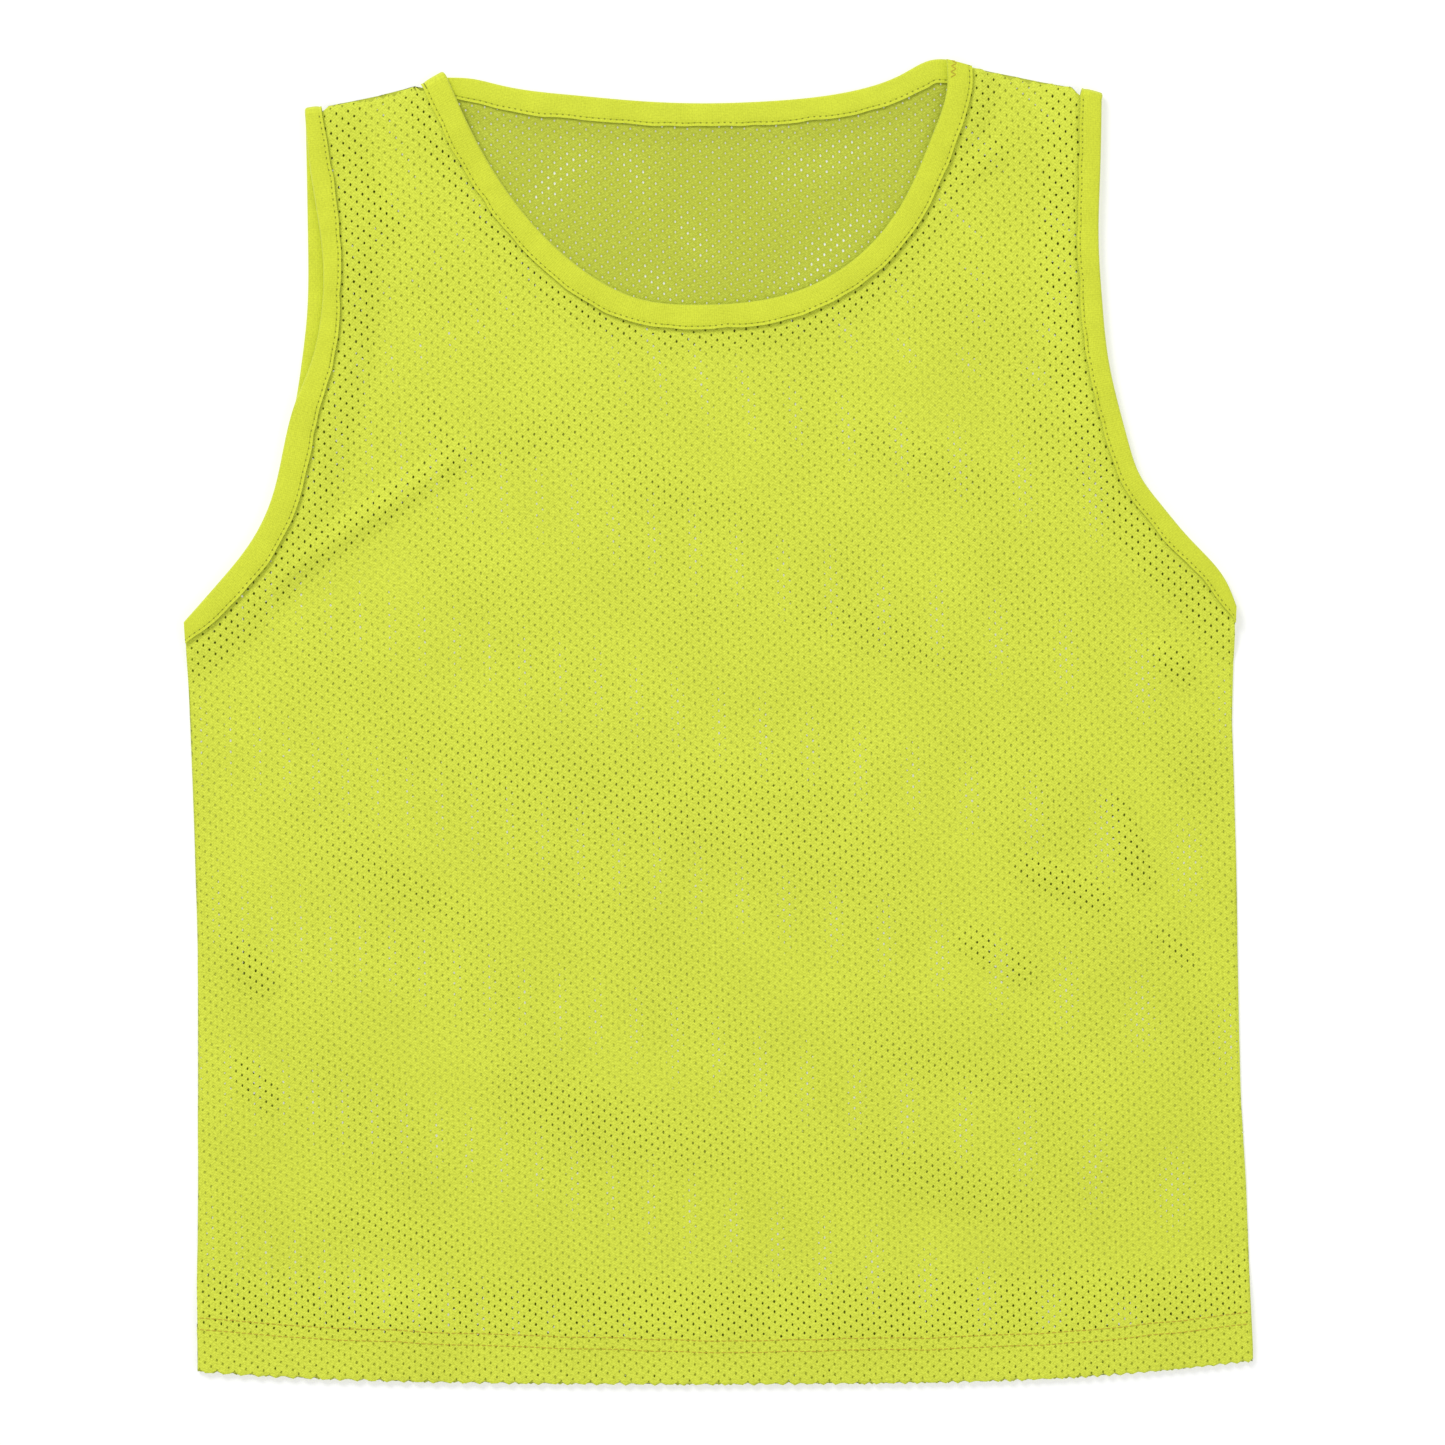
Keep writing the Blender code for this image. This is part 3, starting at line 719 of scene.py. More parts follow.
# Corners of a hole, and the neighbours that its edges face. Columns: wale step, course step
HOLE_ANGLES = np.radians([0.0, 60.0, 120.0, 180.0, 240.0, 300.0])
TO_RIGHT = (1, 1)
TO_TOP = (0, 2)
TO_LEFT = (-1, 1)


def net(phase, rim, hole_width, size_of):
    """A net of six-cornered holes over all within a rim and just round it.

    Hole centres lie at whole wale and course numbers of like parity. Each cell gives three
    bridges of two triangles to its upper neighbours, and two triangles between them.
    Returns the flat points, the triangles, how far each point lies outside the rim, the nearest
    rim point and each point's wale and course numbers.
    """
    corner_w, corner_c = phase(*(np.array([[-300, 300, -300, 300], [-370, -370, 350, 350]], float)))
    w_low, w_high = int(corner_w.min()) - 20, int(corner_w.max()) + 20
    c_low, c_high = int(corner_c.min()) - 30, int(corner_c.max()) + 30
    wale, course = np.meshgrid(np.arange(w_low, w_high), np.arange(c_low, c_high), indexing="ij")
    staggered = (wale + course) % 2 == 0
    centre_w = wale[staggered]
    centre_c = course[staggered]
    x, y = place_of(phase, centre_w.astype(float), centre_c.astype(float))
    low = rim.min(axis=0) - RIM_CELLS
    high = rim.max(axis=0) + RIM_CELLS
    near = (x > low[0]) & (x < high[0]) & (y > low[1]) & (y < high[1])
    centre_w, centre_c, x, y = (values[near] for values in (centre_w, centre_c, x, y))
    centre = np.column_stack([x, y])
    closed = np.concatenate([rim, rim[:1]])
    cell_distance, _, _ = nearest_on_line(centre, closed)
    cell_distance = np.where(inside(centre, rim), -cell_distance, cell_distance)
    keep = cell_distance < RIM_CELLS
    centre_w, centre_c, centre = centre_w[keep], centre_c[keep], centre[keep]
    cell_distance = cell_distance[keep]

    draw = np.random.default_rng(SEED)
    beside_seam = SEAM_HOLE + (1.0 - SEAM_HOLE) * smoothstep((-cell_distance - 0.8) / SEAM_REACH)
    size = (size_of(centre) * beside_seam)[:, None]
    uneven = draw.normal(1.0, HOLE_UNEVEN, (len(centre), 2)) * size
    half = hole_width / 2.0 * np.array([1.0, HOLE_TALLNESS]) * uneven
    ring = np.stack([np.cos(HOLE_ANGLES), np.sin(HOLE_ANGLES)], axis=-1)
    points = (centre[:, None] + ring[None] * half[:, None]).reshape(-1, 2)

    index = np.full((w_high - w_low + 4, c_high - c_low + 4), -1)
    i = centre_w - w_low + 1
    j = centre_c - c_low + 1
    index[i, j] = np.arange(len(centre))
    own = np.arange(len(centre))
    right = index[i + TO_RIGHT[0], j + TO_RIGHT[1]]
    top = index[i + TO_TOP[0], j + TO_TOP[1]]
    left = index[i + TO_LEFT[0], j + TO_LEFT[1]]

    def corner(cell, number):
        return cell * 6 + number

    quads = (
        (right, corner(own, 0), corner(right, 4), corner(right, 3), corner(own, 1)),
        (top, corner(own, 1), corner(top, 5), corner(top, 4), corner(own, 2)),
        (left, corner(own, 2), corner(left, 0), corner(left, 5), corner(own, 3)),
    )
    faces = []
    for other, a, b, c, d in quads:
        real = other >= 0
        faces.append(np.column_stack([a, b, c])[real])
        faces.append(np.column_stack([a, c, d])[real])
    real = (right >= 0) & (top >= 0)
    faces.append(np.column_stack([corner(own, 1), corner(right, 3), corner(top, 5)])[real])
    real = (left >= 0) & (top >= 0)
    faces.append(np.column_stack([corner(own, 2), corner(top, 4), corner(left, 0)])[real])
    faces = np.concatenate(faces)

    outside = np.repeat(cell_distance, 6)
    foot = points.copy()
    close = np.repeat(np.abs(cell_distance) < RIM_CELLS, 6)
    exact, _, at = nearest_on_line(points[close], closed)
    outside[close] = np.where(inside(points[close], rim), -exact, exact)
    foot[close] = at
    kept = (outside[faces] < EDGE_WRAP).any(axis=1)
    faces = faces[kept]
    used = np.unique(faces)
    renumber = np.zeros(len(points), dtype=int)
    renumber[used] = np.arange(len(used))
    points, outside, foot = points[used], outside[used], foot[used]
    wale_at, course_at = phase(points[:, 0], points[:, 1])
    return points, renumber[faces], outside, foot, wale_at, course_at


def rolled(points, outside, foot, radius):
    """Flat points and drop: the last of the cloth turns round the rim on a small arc.

    A point's depth past the arc's start, over the radius, is its angle, half a turn at most.
    """
    turned = points.copy()
    drop = np.zeros(len(points))
    rolls = outside > -radius
    angle = np.clip((outside[rolls] + radius) / radius, 0.0, np.pi)
    away = points[rolls] - foot[rolls]
    size = np.linalg.norm(away, axis=1, keepdims=True)
    way = np.where(outside[rolls, None] > 0.0, away, -away) / np.maximum(size, 1e-6)
    turned[rolls] = foot[rolls] + way * (radius * (np.sin(angle) - 1.0))[:, None]
    drop[rolls] = radius * (1.0 - np.cos(angle))
    return turned, drop


def folded_hem(flat, low_of, drop, outer_in_wall, is_front):
    """Points in space: above the fold the cloth lies flat, below it the hem turns in.

    The turn is half a circle between the outer and the turned layer.
    """
    sign = 1.0 if is_front else -1.0
    fold = hem_height(flat[:, 0]) + HEM_TURN
    past = fold - flat[:, 1]
    arc = np.pi * HEM_TURN
    angle = np.clip(past / HEM_TURN, 0.0, np.pi)
    y = np.where(past < 0.0, flat[:, 1], fold - HEM_TURN * np.sin(angle))
    y = np.where(past > arc, fold + past - arc, y)
    x = flat[:, 0]
    base = low_of(np.column_stack([x, np.maximum(y, fold)])) + outer_in_wall
    fall = HEM_TURN * (1.0 - np.cos(angle))
    return np.column_stack([x, y, base - sign * (fall + drop)])


class Socket:
    """A shader value. Arithmetic on it adds Math nodes."""

    def __init__(self, tree, source):
        self.tree = tree
        self.source = source

    def math(self, operation, *others, clamp=False):
        node = self.tree.nodes.new("ShaderNodeMath")
        node.operation = operation
        node.use_clamp = clamp
        for slot, value in zip(node.inputs, (self, *others)):
            if isinstance(value, Socket):
                self.tree.links.new(value.source, slot)
            else:
                slot.default_value = value
        return Socket(self.tree, node.outputs[0])

    def swapped(self, operation, value):
        node = self.tree.nodes.new("ShaderNodeMath")
        node.operation = operation
        node.inputs[0].default_value = value
        self.tree.links.new(self.source, node.inputs[1])
        return Socket(self.tree, node.outputs[0])

    def __add__(self, other):
        return self.math("ADD", other)

    __radd__ = __add__

    def __mul__(self, other):
        return self.math("MULTIPLY", other)

    __rmul__ = __mul__

    def __sub__(self, other):
        return self.math("SUBTRACT", other)

    def __rsub__(self, other):
        return self.swapped("SUBTRACT", other)

    def __truediv__(self, other):
        return self.math("DIVIDE", other)

    def __pow__(self, other):
        return self.math("POWER", other)

    def wave(self):
        """Cosine of a whole turn for each unit."""
        return (self * (2.0 * np.pi)).math("COSINE")

    def between(self, low, high):
        """Nought at low, one at high, a soft S between."""
        share = ((self - low) / (high - low)).math("ADD", 0.0, clamp=True)
        return share * share * (3.0 - 2.0 * share)


class Finish:
    """A material being made: its tree and its Principled shader."""

    def __init__(self, name, roughness, sheen=0.0):
        self.material = bpy.data.materials.new(name)
        self.material.use_nodes = True
        self.tree = self.material.node_tree
        self.shader = self.tree.nodes["Principled BSDF"]
        self.shader.inputs["Roughness"].default_value = roughness
        self.shader.inputs["Sheen Weight"].default_value = sheen
        self.shader.inputs["Specular IOR Level"].default_value = 0.25

    def node(self, kind, settings=None, output=0, **sockets):
        """Adds a node: settings are set first, then the values or links of its sockets."""
        node = self.tree.nodes.new("ShaderNode" + kind)
        for name, value in (settings or {}).items():
            setattr(node, name, value)
        for name, value in sockets.items():
            slot = node.inputs[name]
            if isinstance(value, Socket):
                self.tree.links.new(value.source, slot)
            else:
                slot.default_value = value
        return Socket(self.tree, node.outputs[output])

    def uv(self, name):
        """The two values of a UV map."""
        both = self.node("UVMap", {"uv_map": name})
        split = self.tree.nodes.new("ShaderNodeSeparateXYZ")
        self.tree.links.new(both.source, split.inputs[0])
        return both, Socket(self.tree, split.outputs[0]), Socket(self.tree, split.outputs[1])

    def noise(self, vector, scale, detail=2.0):
        """Even noise about one half."""
        return self.node(
            "TexNoise", Vector=vector, Scale=scale, Detail=detail, Roughness=0.55
        )

    def mixed(self, share, first, second):
        """A colour between two colours."""
        node = self.tree.nodes.new("ShaderNodeMix")
        node.data_type = "RGBA"
        self.tree.links.new(share.source, node.inputs[0])
        for slot, value in ((node.inputs[6], first), (node.inputs[7], second)):
            if isinstance(value, Socket):
                self.tree.links.new(value.source, slot)
            else:
                slot.default_value = (*value, 1.0)
        return Socket(self.tree, node.outputs[2])

    def finish(self, colour, height, distance, strength=1.0, roughness=None):
        """Links the colour, the roughness and a bump to the shader."""
        self.tree.links.new(colour.source, self.shader.inputs["Base Color"])
        if roughness is not None:
            self.tree.links.new(roughness.source, self.shader.inputs["Roughness"])
        bump = self.tree.nodes.new("ShaderNodeBump")
        bump.inputs["Strength"].default_value = strength
        bump.inputs["Distance"].default_value = distance
        self.tree.links.new(height.source, bump.inputs["Height"])
        self.tree.links.new(bump.outputs[0], self.shader.inputs["Normal"])
        return self.material


def shaded(colour, factor, paleness=None):
    """A colour made darker or lighter, and its blue by a factor of its own."""
    red, green, blue = colour
    return (
        min(1.0, red * factor),
        min(1.0, green * factor),
        min(1.0, blue * (factor if paleness is None else paleness)),
    )


def mesh_cloth(name, colour):
    """Knitted mesh: yarn that thickens between the holes, a soft uneven dye, and painted shade round
    the holes and over the back's single layer inside the neck.
    """
    made = Finish(name, 0.72, 0.15)
    _, wale, course = made.uv("lattice")
    # The pull map holds the slack share and the neck share of the back; both only place painted shade
    # below
    _, slack_hole_shade, bare = made.uv("pull")
    cloth, _, _ = made.uv("cloth")
    rising = (wale + course) * 0.5
    falling = (wale - course) * 0.5
    at_hole = (rising.wave() + falling.wave()) * 0.25 + 0.5
    rim_of_hole = at_hole.between(0.45, 0.95)
    # Legs of the loops lean one way on every other half wale and the other way between
    half_wale = wale.wave().between(-0.3, 0.3)
    legs = (rising * 4.0).wave() * half_wale + (falling * 4.0).wave() * (1.0 - half_wale)
    yarn = made.noise(cloth, 900.0, 4.0)
    fibre = made.noise(cloth, 3000.0, 2.0)
    dye = made.noise(cloth, 20.0, 3.0)
    grain = legs * 0.22 + (yarn - 0.5) * 2.6 + (fibre - 0.5) * 0.6
    # Painted shade: the rims of the holes are darkened a little everywhere and far more in slack
    # patches inside the neck, and the back's single layer inside the neck is darkened as a whole
    shade = 0.5 + grain * 0.5 + (dye - 0.5) * 0.22 - rim_of_hole * (0.05 + slack_hole_shade * 0.9) - bare * 0.3
    mixed = made.mixed(shade.between(-0.1, 1.1), shaded(colour, 0.70, 0.6), shaded(colour, 1.24, 1.9))
    height = (1.0 - rim_of_hole) * 0.4 + legs * 0.16 + yarn * 0.5 + fibre * 0.2
    roughness = 0.56 + yarn * 0.2
    return made.finish(mixed, height, 0.00028, 0.8, roughness)


def tape_knit(name, colour):
    """Plain knit tape: fine ribs along it, loops across them, a mottled dye, and painted shade in the
    needle pricks along the stitch line.
    """
    made = Finish(name, 0.66, 0.2)
    tape, along, across = made.uv("tape")
    _, stitch, off_line = made.uv("seam")
    ribs = (across * 1250.0).wave()
    loops = (along * 900.0 + ribs * 0.2).wave()
    yarn = made.noise(tape, 1000.0, 4.0)
    dye = made.noise(tape, 60.0, 3.0)
    on_line = (1.0 - off_line.math("ABSOLUTE") / 0.55).math("MAXIMUM", 0.0)
    # Painted shade: dark dots in the needle pricks where the thread goes into the tape, which the bump
    # also dents
    pricks_and_shade = on_line * stitch.wave().between(0.1, 0.85)
    grain = ribs * 0.12 + loops * 0.12 + (yarn - 0.5) * 1.9
    shade = 0.5 + grain * 0.5 + (dye - 0.5) * 0.4
    plain = made.mixed(shade.between(-0.1, 1.1), shaded(colour, 0.76, 0.7), shaded(colour, 1.2, 1.5))
    mixed = made.mixed(pricks_and_shade.between(0.1, 0.7), plain, shaded(colour, 0.35))
    height = ribs * 0.2 + loops * 0.2 + yarn * 0.6 - on_line * 0.5 - pricks_and_shade * 0.9
    roughness = 0.56 + yarn * 0.16
    return made.finish(mixed, height, 0.0002, 0.7, roughness)


def thread(name, colour):
    """Twisted sewing thread with a soft gloss."""
    made = Finish(name, 0.5, 0.1)
    place = made.node("TexCoord", output=3)
    twist = made.node("TexWave", {"wave_type": "BANDS"}, output=1, Vector=place, Scale=900.0)
    fuzz = made.noise(place, 2500.0)
    mixed = made.mixed(twist * 0.5 + fuzz * 0.5, shaded(colour, 0.75), shaded(colour, 1.1))
    return made.finish(mixed, twist, 0.00005, 0.5)


def new_piece(name, points, faces, material, maps, smooth=True):
    """A mesh object from whole arrays, with its UV maps. Points are in millimetres."""
    mesh = bpy.data.meshes.new(name)
    width = faces.shape[1]
    mesh.vertices.add(len(points))
    mesh.vertices.foreach_set("co", ((points + BIB.shift) * MM).astype(np.float32).ravel())
    mesh.loops.add(faces.size)
    mesh.loops.foreach_set("vertex_index", faces.astype(np.int32).ravel())
    mesh.polygons.add(len(faces))
    mesh.polygons.foreach_set("loop_start", np.arange(0, faces.size, width, dtype=np.int32))
    mesh.update(calc_edges=True)
    for map_name, values in maps.items():
        layer = mesh.uv_layers.new(name=map_name)
        layer.data.foreach_set("uv", values[faces.ravel()].astype(np.float32).ravel())
    mesh.validate()
    if smooth:
        mesh.shade_smooth()
    mesh.materials.append(material)
    piece = bpy.data.objects.new(name, mesh)
    bpy.context.scene.collection.objects.link(piece)
    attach(piece, "root")
    return piece


def baked_map(values):
    """The same map, moved and scaled evenly to fill the unit square."""
    low = values.min(axis=0)
    return (values - low) / (values.max(axis=0) - low).max()


def panel(name, is_front, material, hole_width):
    """One net panel in its place, its hem turned in and its rim rolled down."""
    phase = front_phase if is_front else back_phase
    size_of = front_hole_size if is_front else back_hole_size
    rim = BIB.front_rim if is_front else BIB.back_rim
    heights = BIB.front_height if is_front else BIB.back_height
    in_wall = FRONT_IN_WALL if is_front else BACK_IN_WALL
    radius = FRONT_ROLL if is_front else BACK_ROLL
    points, faces, outside, foot, wale, course = net(phase, rim, hole_width, size_of)
    flat, drop = rolled(points, outside, foot, radius)
    placed = folded_hem(flat, heights.at, drop, in_wall, is_front)
    bare = in_neck(points) * (0.0 if is_front else 1.0)
    maps = {
        "OFBake": baked_map(points),
        "lattice": np.column_stack([wale, course]),
        "cloth": points * MM,
        # Pull map: how slack the back is inside the neck, and how far it is inside the neck; the mesh
        # material paints shade by them
        "pull": np.column_stack([bare * (1.0 - stretched(points)), bare]),
    }
    return new_piece(name, placed, faces, material, maps)


def tape_profile(width):
    """Section of a folded binding for each width: place from the folded edge, and height.

    The outside runs from the lower leg round the nose to the upper leg, which swells between
    the fold and the stitches and dips at them. The inside is a slot. Returns arrays of
    stations by section points.
    """
    nose = np.linspace(-0.5 * np.pi, 0.5 * np.pi, 9)
    leg = np.array([1.0, 0.93, 0.86, 0.78, 0.6, 0.4, 0.2])
    dip = np.exp(-(((1.0 - leg) * 12.0 - STITCH_INSET) / 0.9) ** 2)
    swell = 0.2 * np.sin(np.pi * leg) - 0.3 * dip
    radius = BOUND / 2.0
    slot = np.array([1.0, 0.6, 0.25])
    flat = 0.0 * width
    columns = []
    for share, puff in zip(leg, swell):
        columns.append((NOSE_LENGTH + (width - NOSE_LENGTH) * share, flat - puff, width * (1 - share)))
    for angle in nose:
        x = NOSE_LENGTH * (1.0 - np.cos(angle))
        columns.append((x + flat, radius * (1.0 + np.sin(angle)) + flat, width))
    for share, puff in zip(leg[::-1], swell[::-1]):
        columns.append(
            (NOSE_LENGTH + (width - NOSE_LENGTH) * share, BOUND + puff + flat, width * (1 - share))
        )
    for share in slot:
        columns.append((NOSE_LENGTH + (width - NOSE_LENGTH) * share, BOUND - WALL + flat, width))
    for share in slot[::-1]:
        columns.append((NOSE_LENGTH + (width - NOSE_LENGTH) * share, WALL + flat, width))
    across, rise, from_sewn = np.array(columns).transpose(1, 2, 0)
    return across, rise, from_sewn


def run_surface(run, base, mirrored):
    """Points of a binding's run, stations by section points, and its seam map.

    The upper leg swells and puckers unevenly along the run. The underside rests flat. The seam
    map holds the stitches' count along their line, and millimetres off that line.
    """
    across, rise, from_sewn = tape_profile(run.sewn_width)
    pucker = ragged(run.arc, TAPE_PUCKER, 4.0, SEED + 1)[:, None]
    if mirrored:
        rise = BOUND - rise
    on_top = rise > BOUND - 0.6
    rise = np.where(on_top, rise + pucker, np.maximum(rise, 0.0))
    flat = run.edge[:, None] + run.across[:, None] * across[..., None]
    height = np.maximum(base[:, None] + rise, 0.02)
    count = path_lengths(run.sewn_line(0.0)) / STITCH_PITCH
    count = np.broadcast_to(count[:, None], from_sewn.shape)
    seam = np.stack([count, from_sewn - STITCH_INSET], axis=-1)
    return np.concatenate([flat, height[..., None]], axis=-1), seam


def turn_surface(section, outward):
    """Stations that carry a run over the shoulder to the back, round a level axis."""
    radius = section[:, 2] - FOLD_AXIS
    angle = np.pi * np.arange(1, TURN_STEPS) / TURN_STEPS
    out = radius[None] * np.sin(angle)[:, None]
    flat = section[None, :, :2] + out[..., None] * outward
    height = FOLD_AXIS + radius[None] * np.cos(angle)[:, None]
    return np.concatenate([flat, height[..., None]], axis=-1)


def tape(name, front, back, front_base, way, material):
    """A binding: its front run, its turn over the shoulder and its back run, as one closed strip."""
    first, first_seam = run_surface(front, front_base, False)
    turn = turn_surface(first[-1], outward_of(way))
    last, last_seam = run_surface(back, np.zeros(len(back.edge)), True)
    grid = np.concatenate([first, turn, last])
    seam = np.concatenate([first_seam, np.repeat(first_seam[-1:], len(turn), axis=0), last_seam])
    rows, count = grid.shape[:2]
    # A doubled column closes the section, so that the maps have a seam there
    grid = np.concatenate([grid, grid[:, :1]], axis=1)
    seam = np.concatenate([seam, seam[:, :1]], axis=1)
    steps = np.linalg.norm(np.diff(grid, axis=0), axis=-1).mean(axis=1)
    along = np.concatenate([[0.0], np.cumsum(steps)])
    around = np.linalg.norm(np.diff(grid, axis=1), axis=-1).mean(axis=0)
    around = np.concatenate([[0.0], np.cumsum(around)])
    points = grid.reshape(-1, 3)
    maps_at = np.stack(np.meshgrid(along, around, indexing="ij"), axis=-1).reshape(-1, 2)
    i, j = np.meshgrid(np.arange(rows - 1), np.arange(count), indexing="ij")
    corner = (i * (count + 1) + j).ravel()
    faces = np.column_stack([corner, corner + count + 1, corner + count + 2, corner + 1])
    maps = {"OFBake": baked_map(maps_at), "tape": maps_at * MM, "seam": seam.reshape(-1, 2)}
    piece = new_piece(name, points, faces, material, maps)
    close_ends(piece, rows, count)
    return piece


def close_ends(piece, rows, count):
    """Welds the doubled column, caps both ends and turns the faces outwards."""
    import bmesh

    data = bmesh.new()
    data.from_mesh(piece.data)
    bmesh.ops.remove_doubles(data, verts=data.verts[:], dist=1e-7)
    rims = [edge for edge in data.edges if edge.is_boundary]
    bmesh.ops.holes_fill(data, edges=rims, sides=0)
    bmesh.ops.recalc_face_normals(data, faces=data.faces[:])
    if data.calc_volume(signed=True) < 0.0:
        bmesh.ops.reverse_faces(data, faces=data.faces[:])
    data.to_mesh(piece.data)
    data.free()
    piece.data.shade_smooth()
    piece.data.set_sharp_from_angle(angle=np.radians(50.0))


# A stitch is a bent rod. Columns: share of its length, share of its full thickness, rise
STITCH_RINGS = np.array([
    (-0.5, 0.35, -0.25),
    (-0.38, 0.9, 0.02),
    (0.0, 1.0, 0.16),
    (0.38, 0.9, 0.02),
    (0.5, 0.35, -0.25),
])


def stitches(name, rows, thickness, material, length=STITCH_LENGTH):
    """Rows of stitches along paths. A row is points of the path in space, even in length.

    Each stitch is a rod of rings of five points, laid along the path's own direction.
    """
    all_points, all_faces = [], []
    total = 0
    ring_angle = np.radians([90.0, 162.0, 234.0, 306.0, 18.0])
    for centre, heading in rows:
        heading = unit(heading)
        side = unit(np.column_stack([heading[:, 1], -heading[:, 0], 0.0 * heading[:, 0]]))
        up = np.cross(side, heading)
        reach, size, rise = STITCH_RINGS.T
        spine = (
            centre[:, None]
            + heading[:, None] * (reach * length)[None, :, None]
            + up[:, None] * (rise * thickness * 2.0)[None, :, None]
        )
        cosine = np.cos(ring_angle)[None, None, :, None] * (size * thickness)[None, :, None, None]
        sine = np.sin(ring_angle)[None, None, :, None] * (size * thickness)[None, :, None, None]
        points = spine[:, :, None] + side[:, None, None] * cosine + up[:, None, None] * sine
        number = len(centre)
        rings, sides = len(STITCH_RINGS), len(ring_angle)
        s, r, k = np.meshgrid(
            np.arange(number), np.arange(rings - 1), np.arange(sides), indexing="ij"
        )
        s, r, k = s.ravel(), r.ravel(), k.ravel()
        after = (k + 1) % sides
        start = total + s * rings * sides + r * sides
        all_faces.append(np.column_stack([start + k, start + after, start + sides + after,
                                          start + sides + k]))
        all_points.append(points.reshape(-1, 3))
        total += number * rings * sides
    return new_piece(name, np.concatenate(all_points), np.concatenate(all_faces), material, {})


def along_path(line, pitch):
    """Centres and headings at an even pitch along a line of points in space."""
    lengths = np.concatenate([[0.0], np.cumsum(np.linalg.norm(np.diff(line, axis=0), axis=1))])
    places = np.arange(pitch / 2.0, lengths[-1], pitch)
    centre = np.column_stack([np.interp(places, lengths, line[:, k]) for k in range(3)])
    ahead = np.column_stack([np.interp(places + 0.5, lengths, line[:, k]) for k in range(3)])
    behind = np.column_stack([np.interp(places - 0.5, lengths, line[:, k]) for k in range(3)])
    return centre, ahead - behind


def hem_stitch_line(offset, is_front):
    """A hem stitch's path, its offset above the lower row, a little uneven."""
    x = np.linspace(HEM_LINE[0][0] + 1.0, HEM_LINE[-1][0] - 1.5, 260)
    rows = np.array(HEM_STITCH)
    y = hem_height(x) + np.interp(x, rows[:, 0], rows[:, 1]) + offset
    y = y + ragged(x - x[0], HEM_RAGGED, 14.0)
    flat = np.column_stack([x, y])
    if is_front:
        return np.column_stack([flat, BIB.front_height.at(flat) + FRONT_IN_WALL + 0.1])
    return np.column_stack([flat, np.full(len(flat), BACK_IN_WALL - 0.1)])


class BibCloth(bpy.types.PropertyGroup):
    """Colours and hole size of the two panels."""

    front: bpy.props.FloatVectorProperty(
        name="Front", description="Colour of the front mesh", subtype="COLOR", size=3,
        min=0.0, max=1.0, default=(0.66, 0.74, 0.042),
    )
    back: bpy.props.FloatVectorProperty(
        name="Back", description="Colour of the back mesh", subtype="COLOR", size=3,
        min=0.0, max=1.0, default=(0.62, 0.70, 0.055),
    )
    hole: bpy.props.FloatProperty(
        name="Hole", description="Width of a hole in the mesh", unit="LENGTH",
        min=0.0005, max=0.002, default=0.0011,
    )


class BibTape(bpy.types.PropertyGroup):
    """Colours of the bindings and of the thread."""

    knit: bpy.props.FloatVectorProperty(
        name="Knit", description="Colour of the binding tape", subtype="COLOR", size=3,
        min=0.0, max=1.0, default=(0.64, 0.71, 0.032),
    )
    thread: bpy.props.FloatVectorProperty(
        name="Thread", description="Colour of the binding's thread", subtype="COLOR", size=3,
        min=0.0, max=1.0, default=(0.58, 0.65, 0.03),
    )
    hem_thread: bpy.props.FloatVectorProperty(
        name="Hem thread", description="Colour of the hem's thread", subtype="COLOR", size=3,
        min=0.0, max=1.0, default=(0.62, 0.46, 0.04),
    )
    thickness: bpy.props.FloatProperty(
        name="Thread radius", description="Half the thread's thickness", unit="LENGTH",
        min=0.0001, max=0.0005, default=0.00022,
    )


class BibStage(bpy.types.PropertyGroup):
    """Floor and light."""

    floor: bpy.props.FloatVectorProperty(
        name="Floor", description="Colour of the floor", subtype="COLOR", size=3,
        min=0.0, max=1.0, default=(0.62, 0.62, 0.62),
    )
    table_light: bpy.props.FloatProperty(
        name="Table light", description="Glow of the light table", default=0.42, min=0.0,
    )
    key: bpy.props.FloatProperty(
        name="Key light", description="Power of the large light", default=78.0, min=0.0,
    )
    fill: bpy.props.FloatProperty(
        name="Fill light", description="Strength of the even light all round", default=0.64, min=0.0,
    )


class BIB_OT_front_panel(bpy.types.Operator):
    """Builds the front panel's net with its hem"""

    bl_idname = "bib.front_panel"
    bl_label = "Front panel"

    def execute(self, context):
        cloth = context.scene.bib_cloth
        material = mesh_cloth("front_mesh", tuple(cloth.front))
        piece = panel("front_mesh_panel", True, material, cloth.hole / MM)
        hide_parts("front_panel")
        return {"FINISHED"}


class BIB_OT_back_panel(bpy.types.Operator):
    """Builds the back panel's net with its hem"""

    bl_idname = "bib.back_panel"
    bl_label = "Back panel"

    def execute(self, context):
        cloth = context.scene.bib_cloth
        material = mesh_cloth("back_mesh", tuple(cloth.back))
        piece = panel("back_mesh_panel", False, material, cloth.hole / MM)
        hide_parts("back_panel")
        return {"FINISHED"}


class BIB_OT_neck_binding(bpy.types.Operator):
    """Builds the strip that binds the neck, front and back"""

    bl_idname = "bib.neck_binding"
    bl_label = "Neck binding"

    def execute(self, context):
        material = tape_knit("neck_knit", tuple(context.scene.bib_tape.knit))
        piece = tape(
            "neck_tape", BIB.neck_front, BIB.neck_back, BIB.neck_base, LEFT_NECK_WAY, material
        )
        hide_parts("neck_binding")
        return {"FINISHED"}


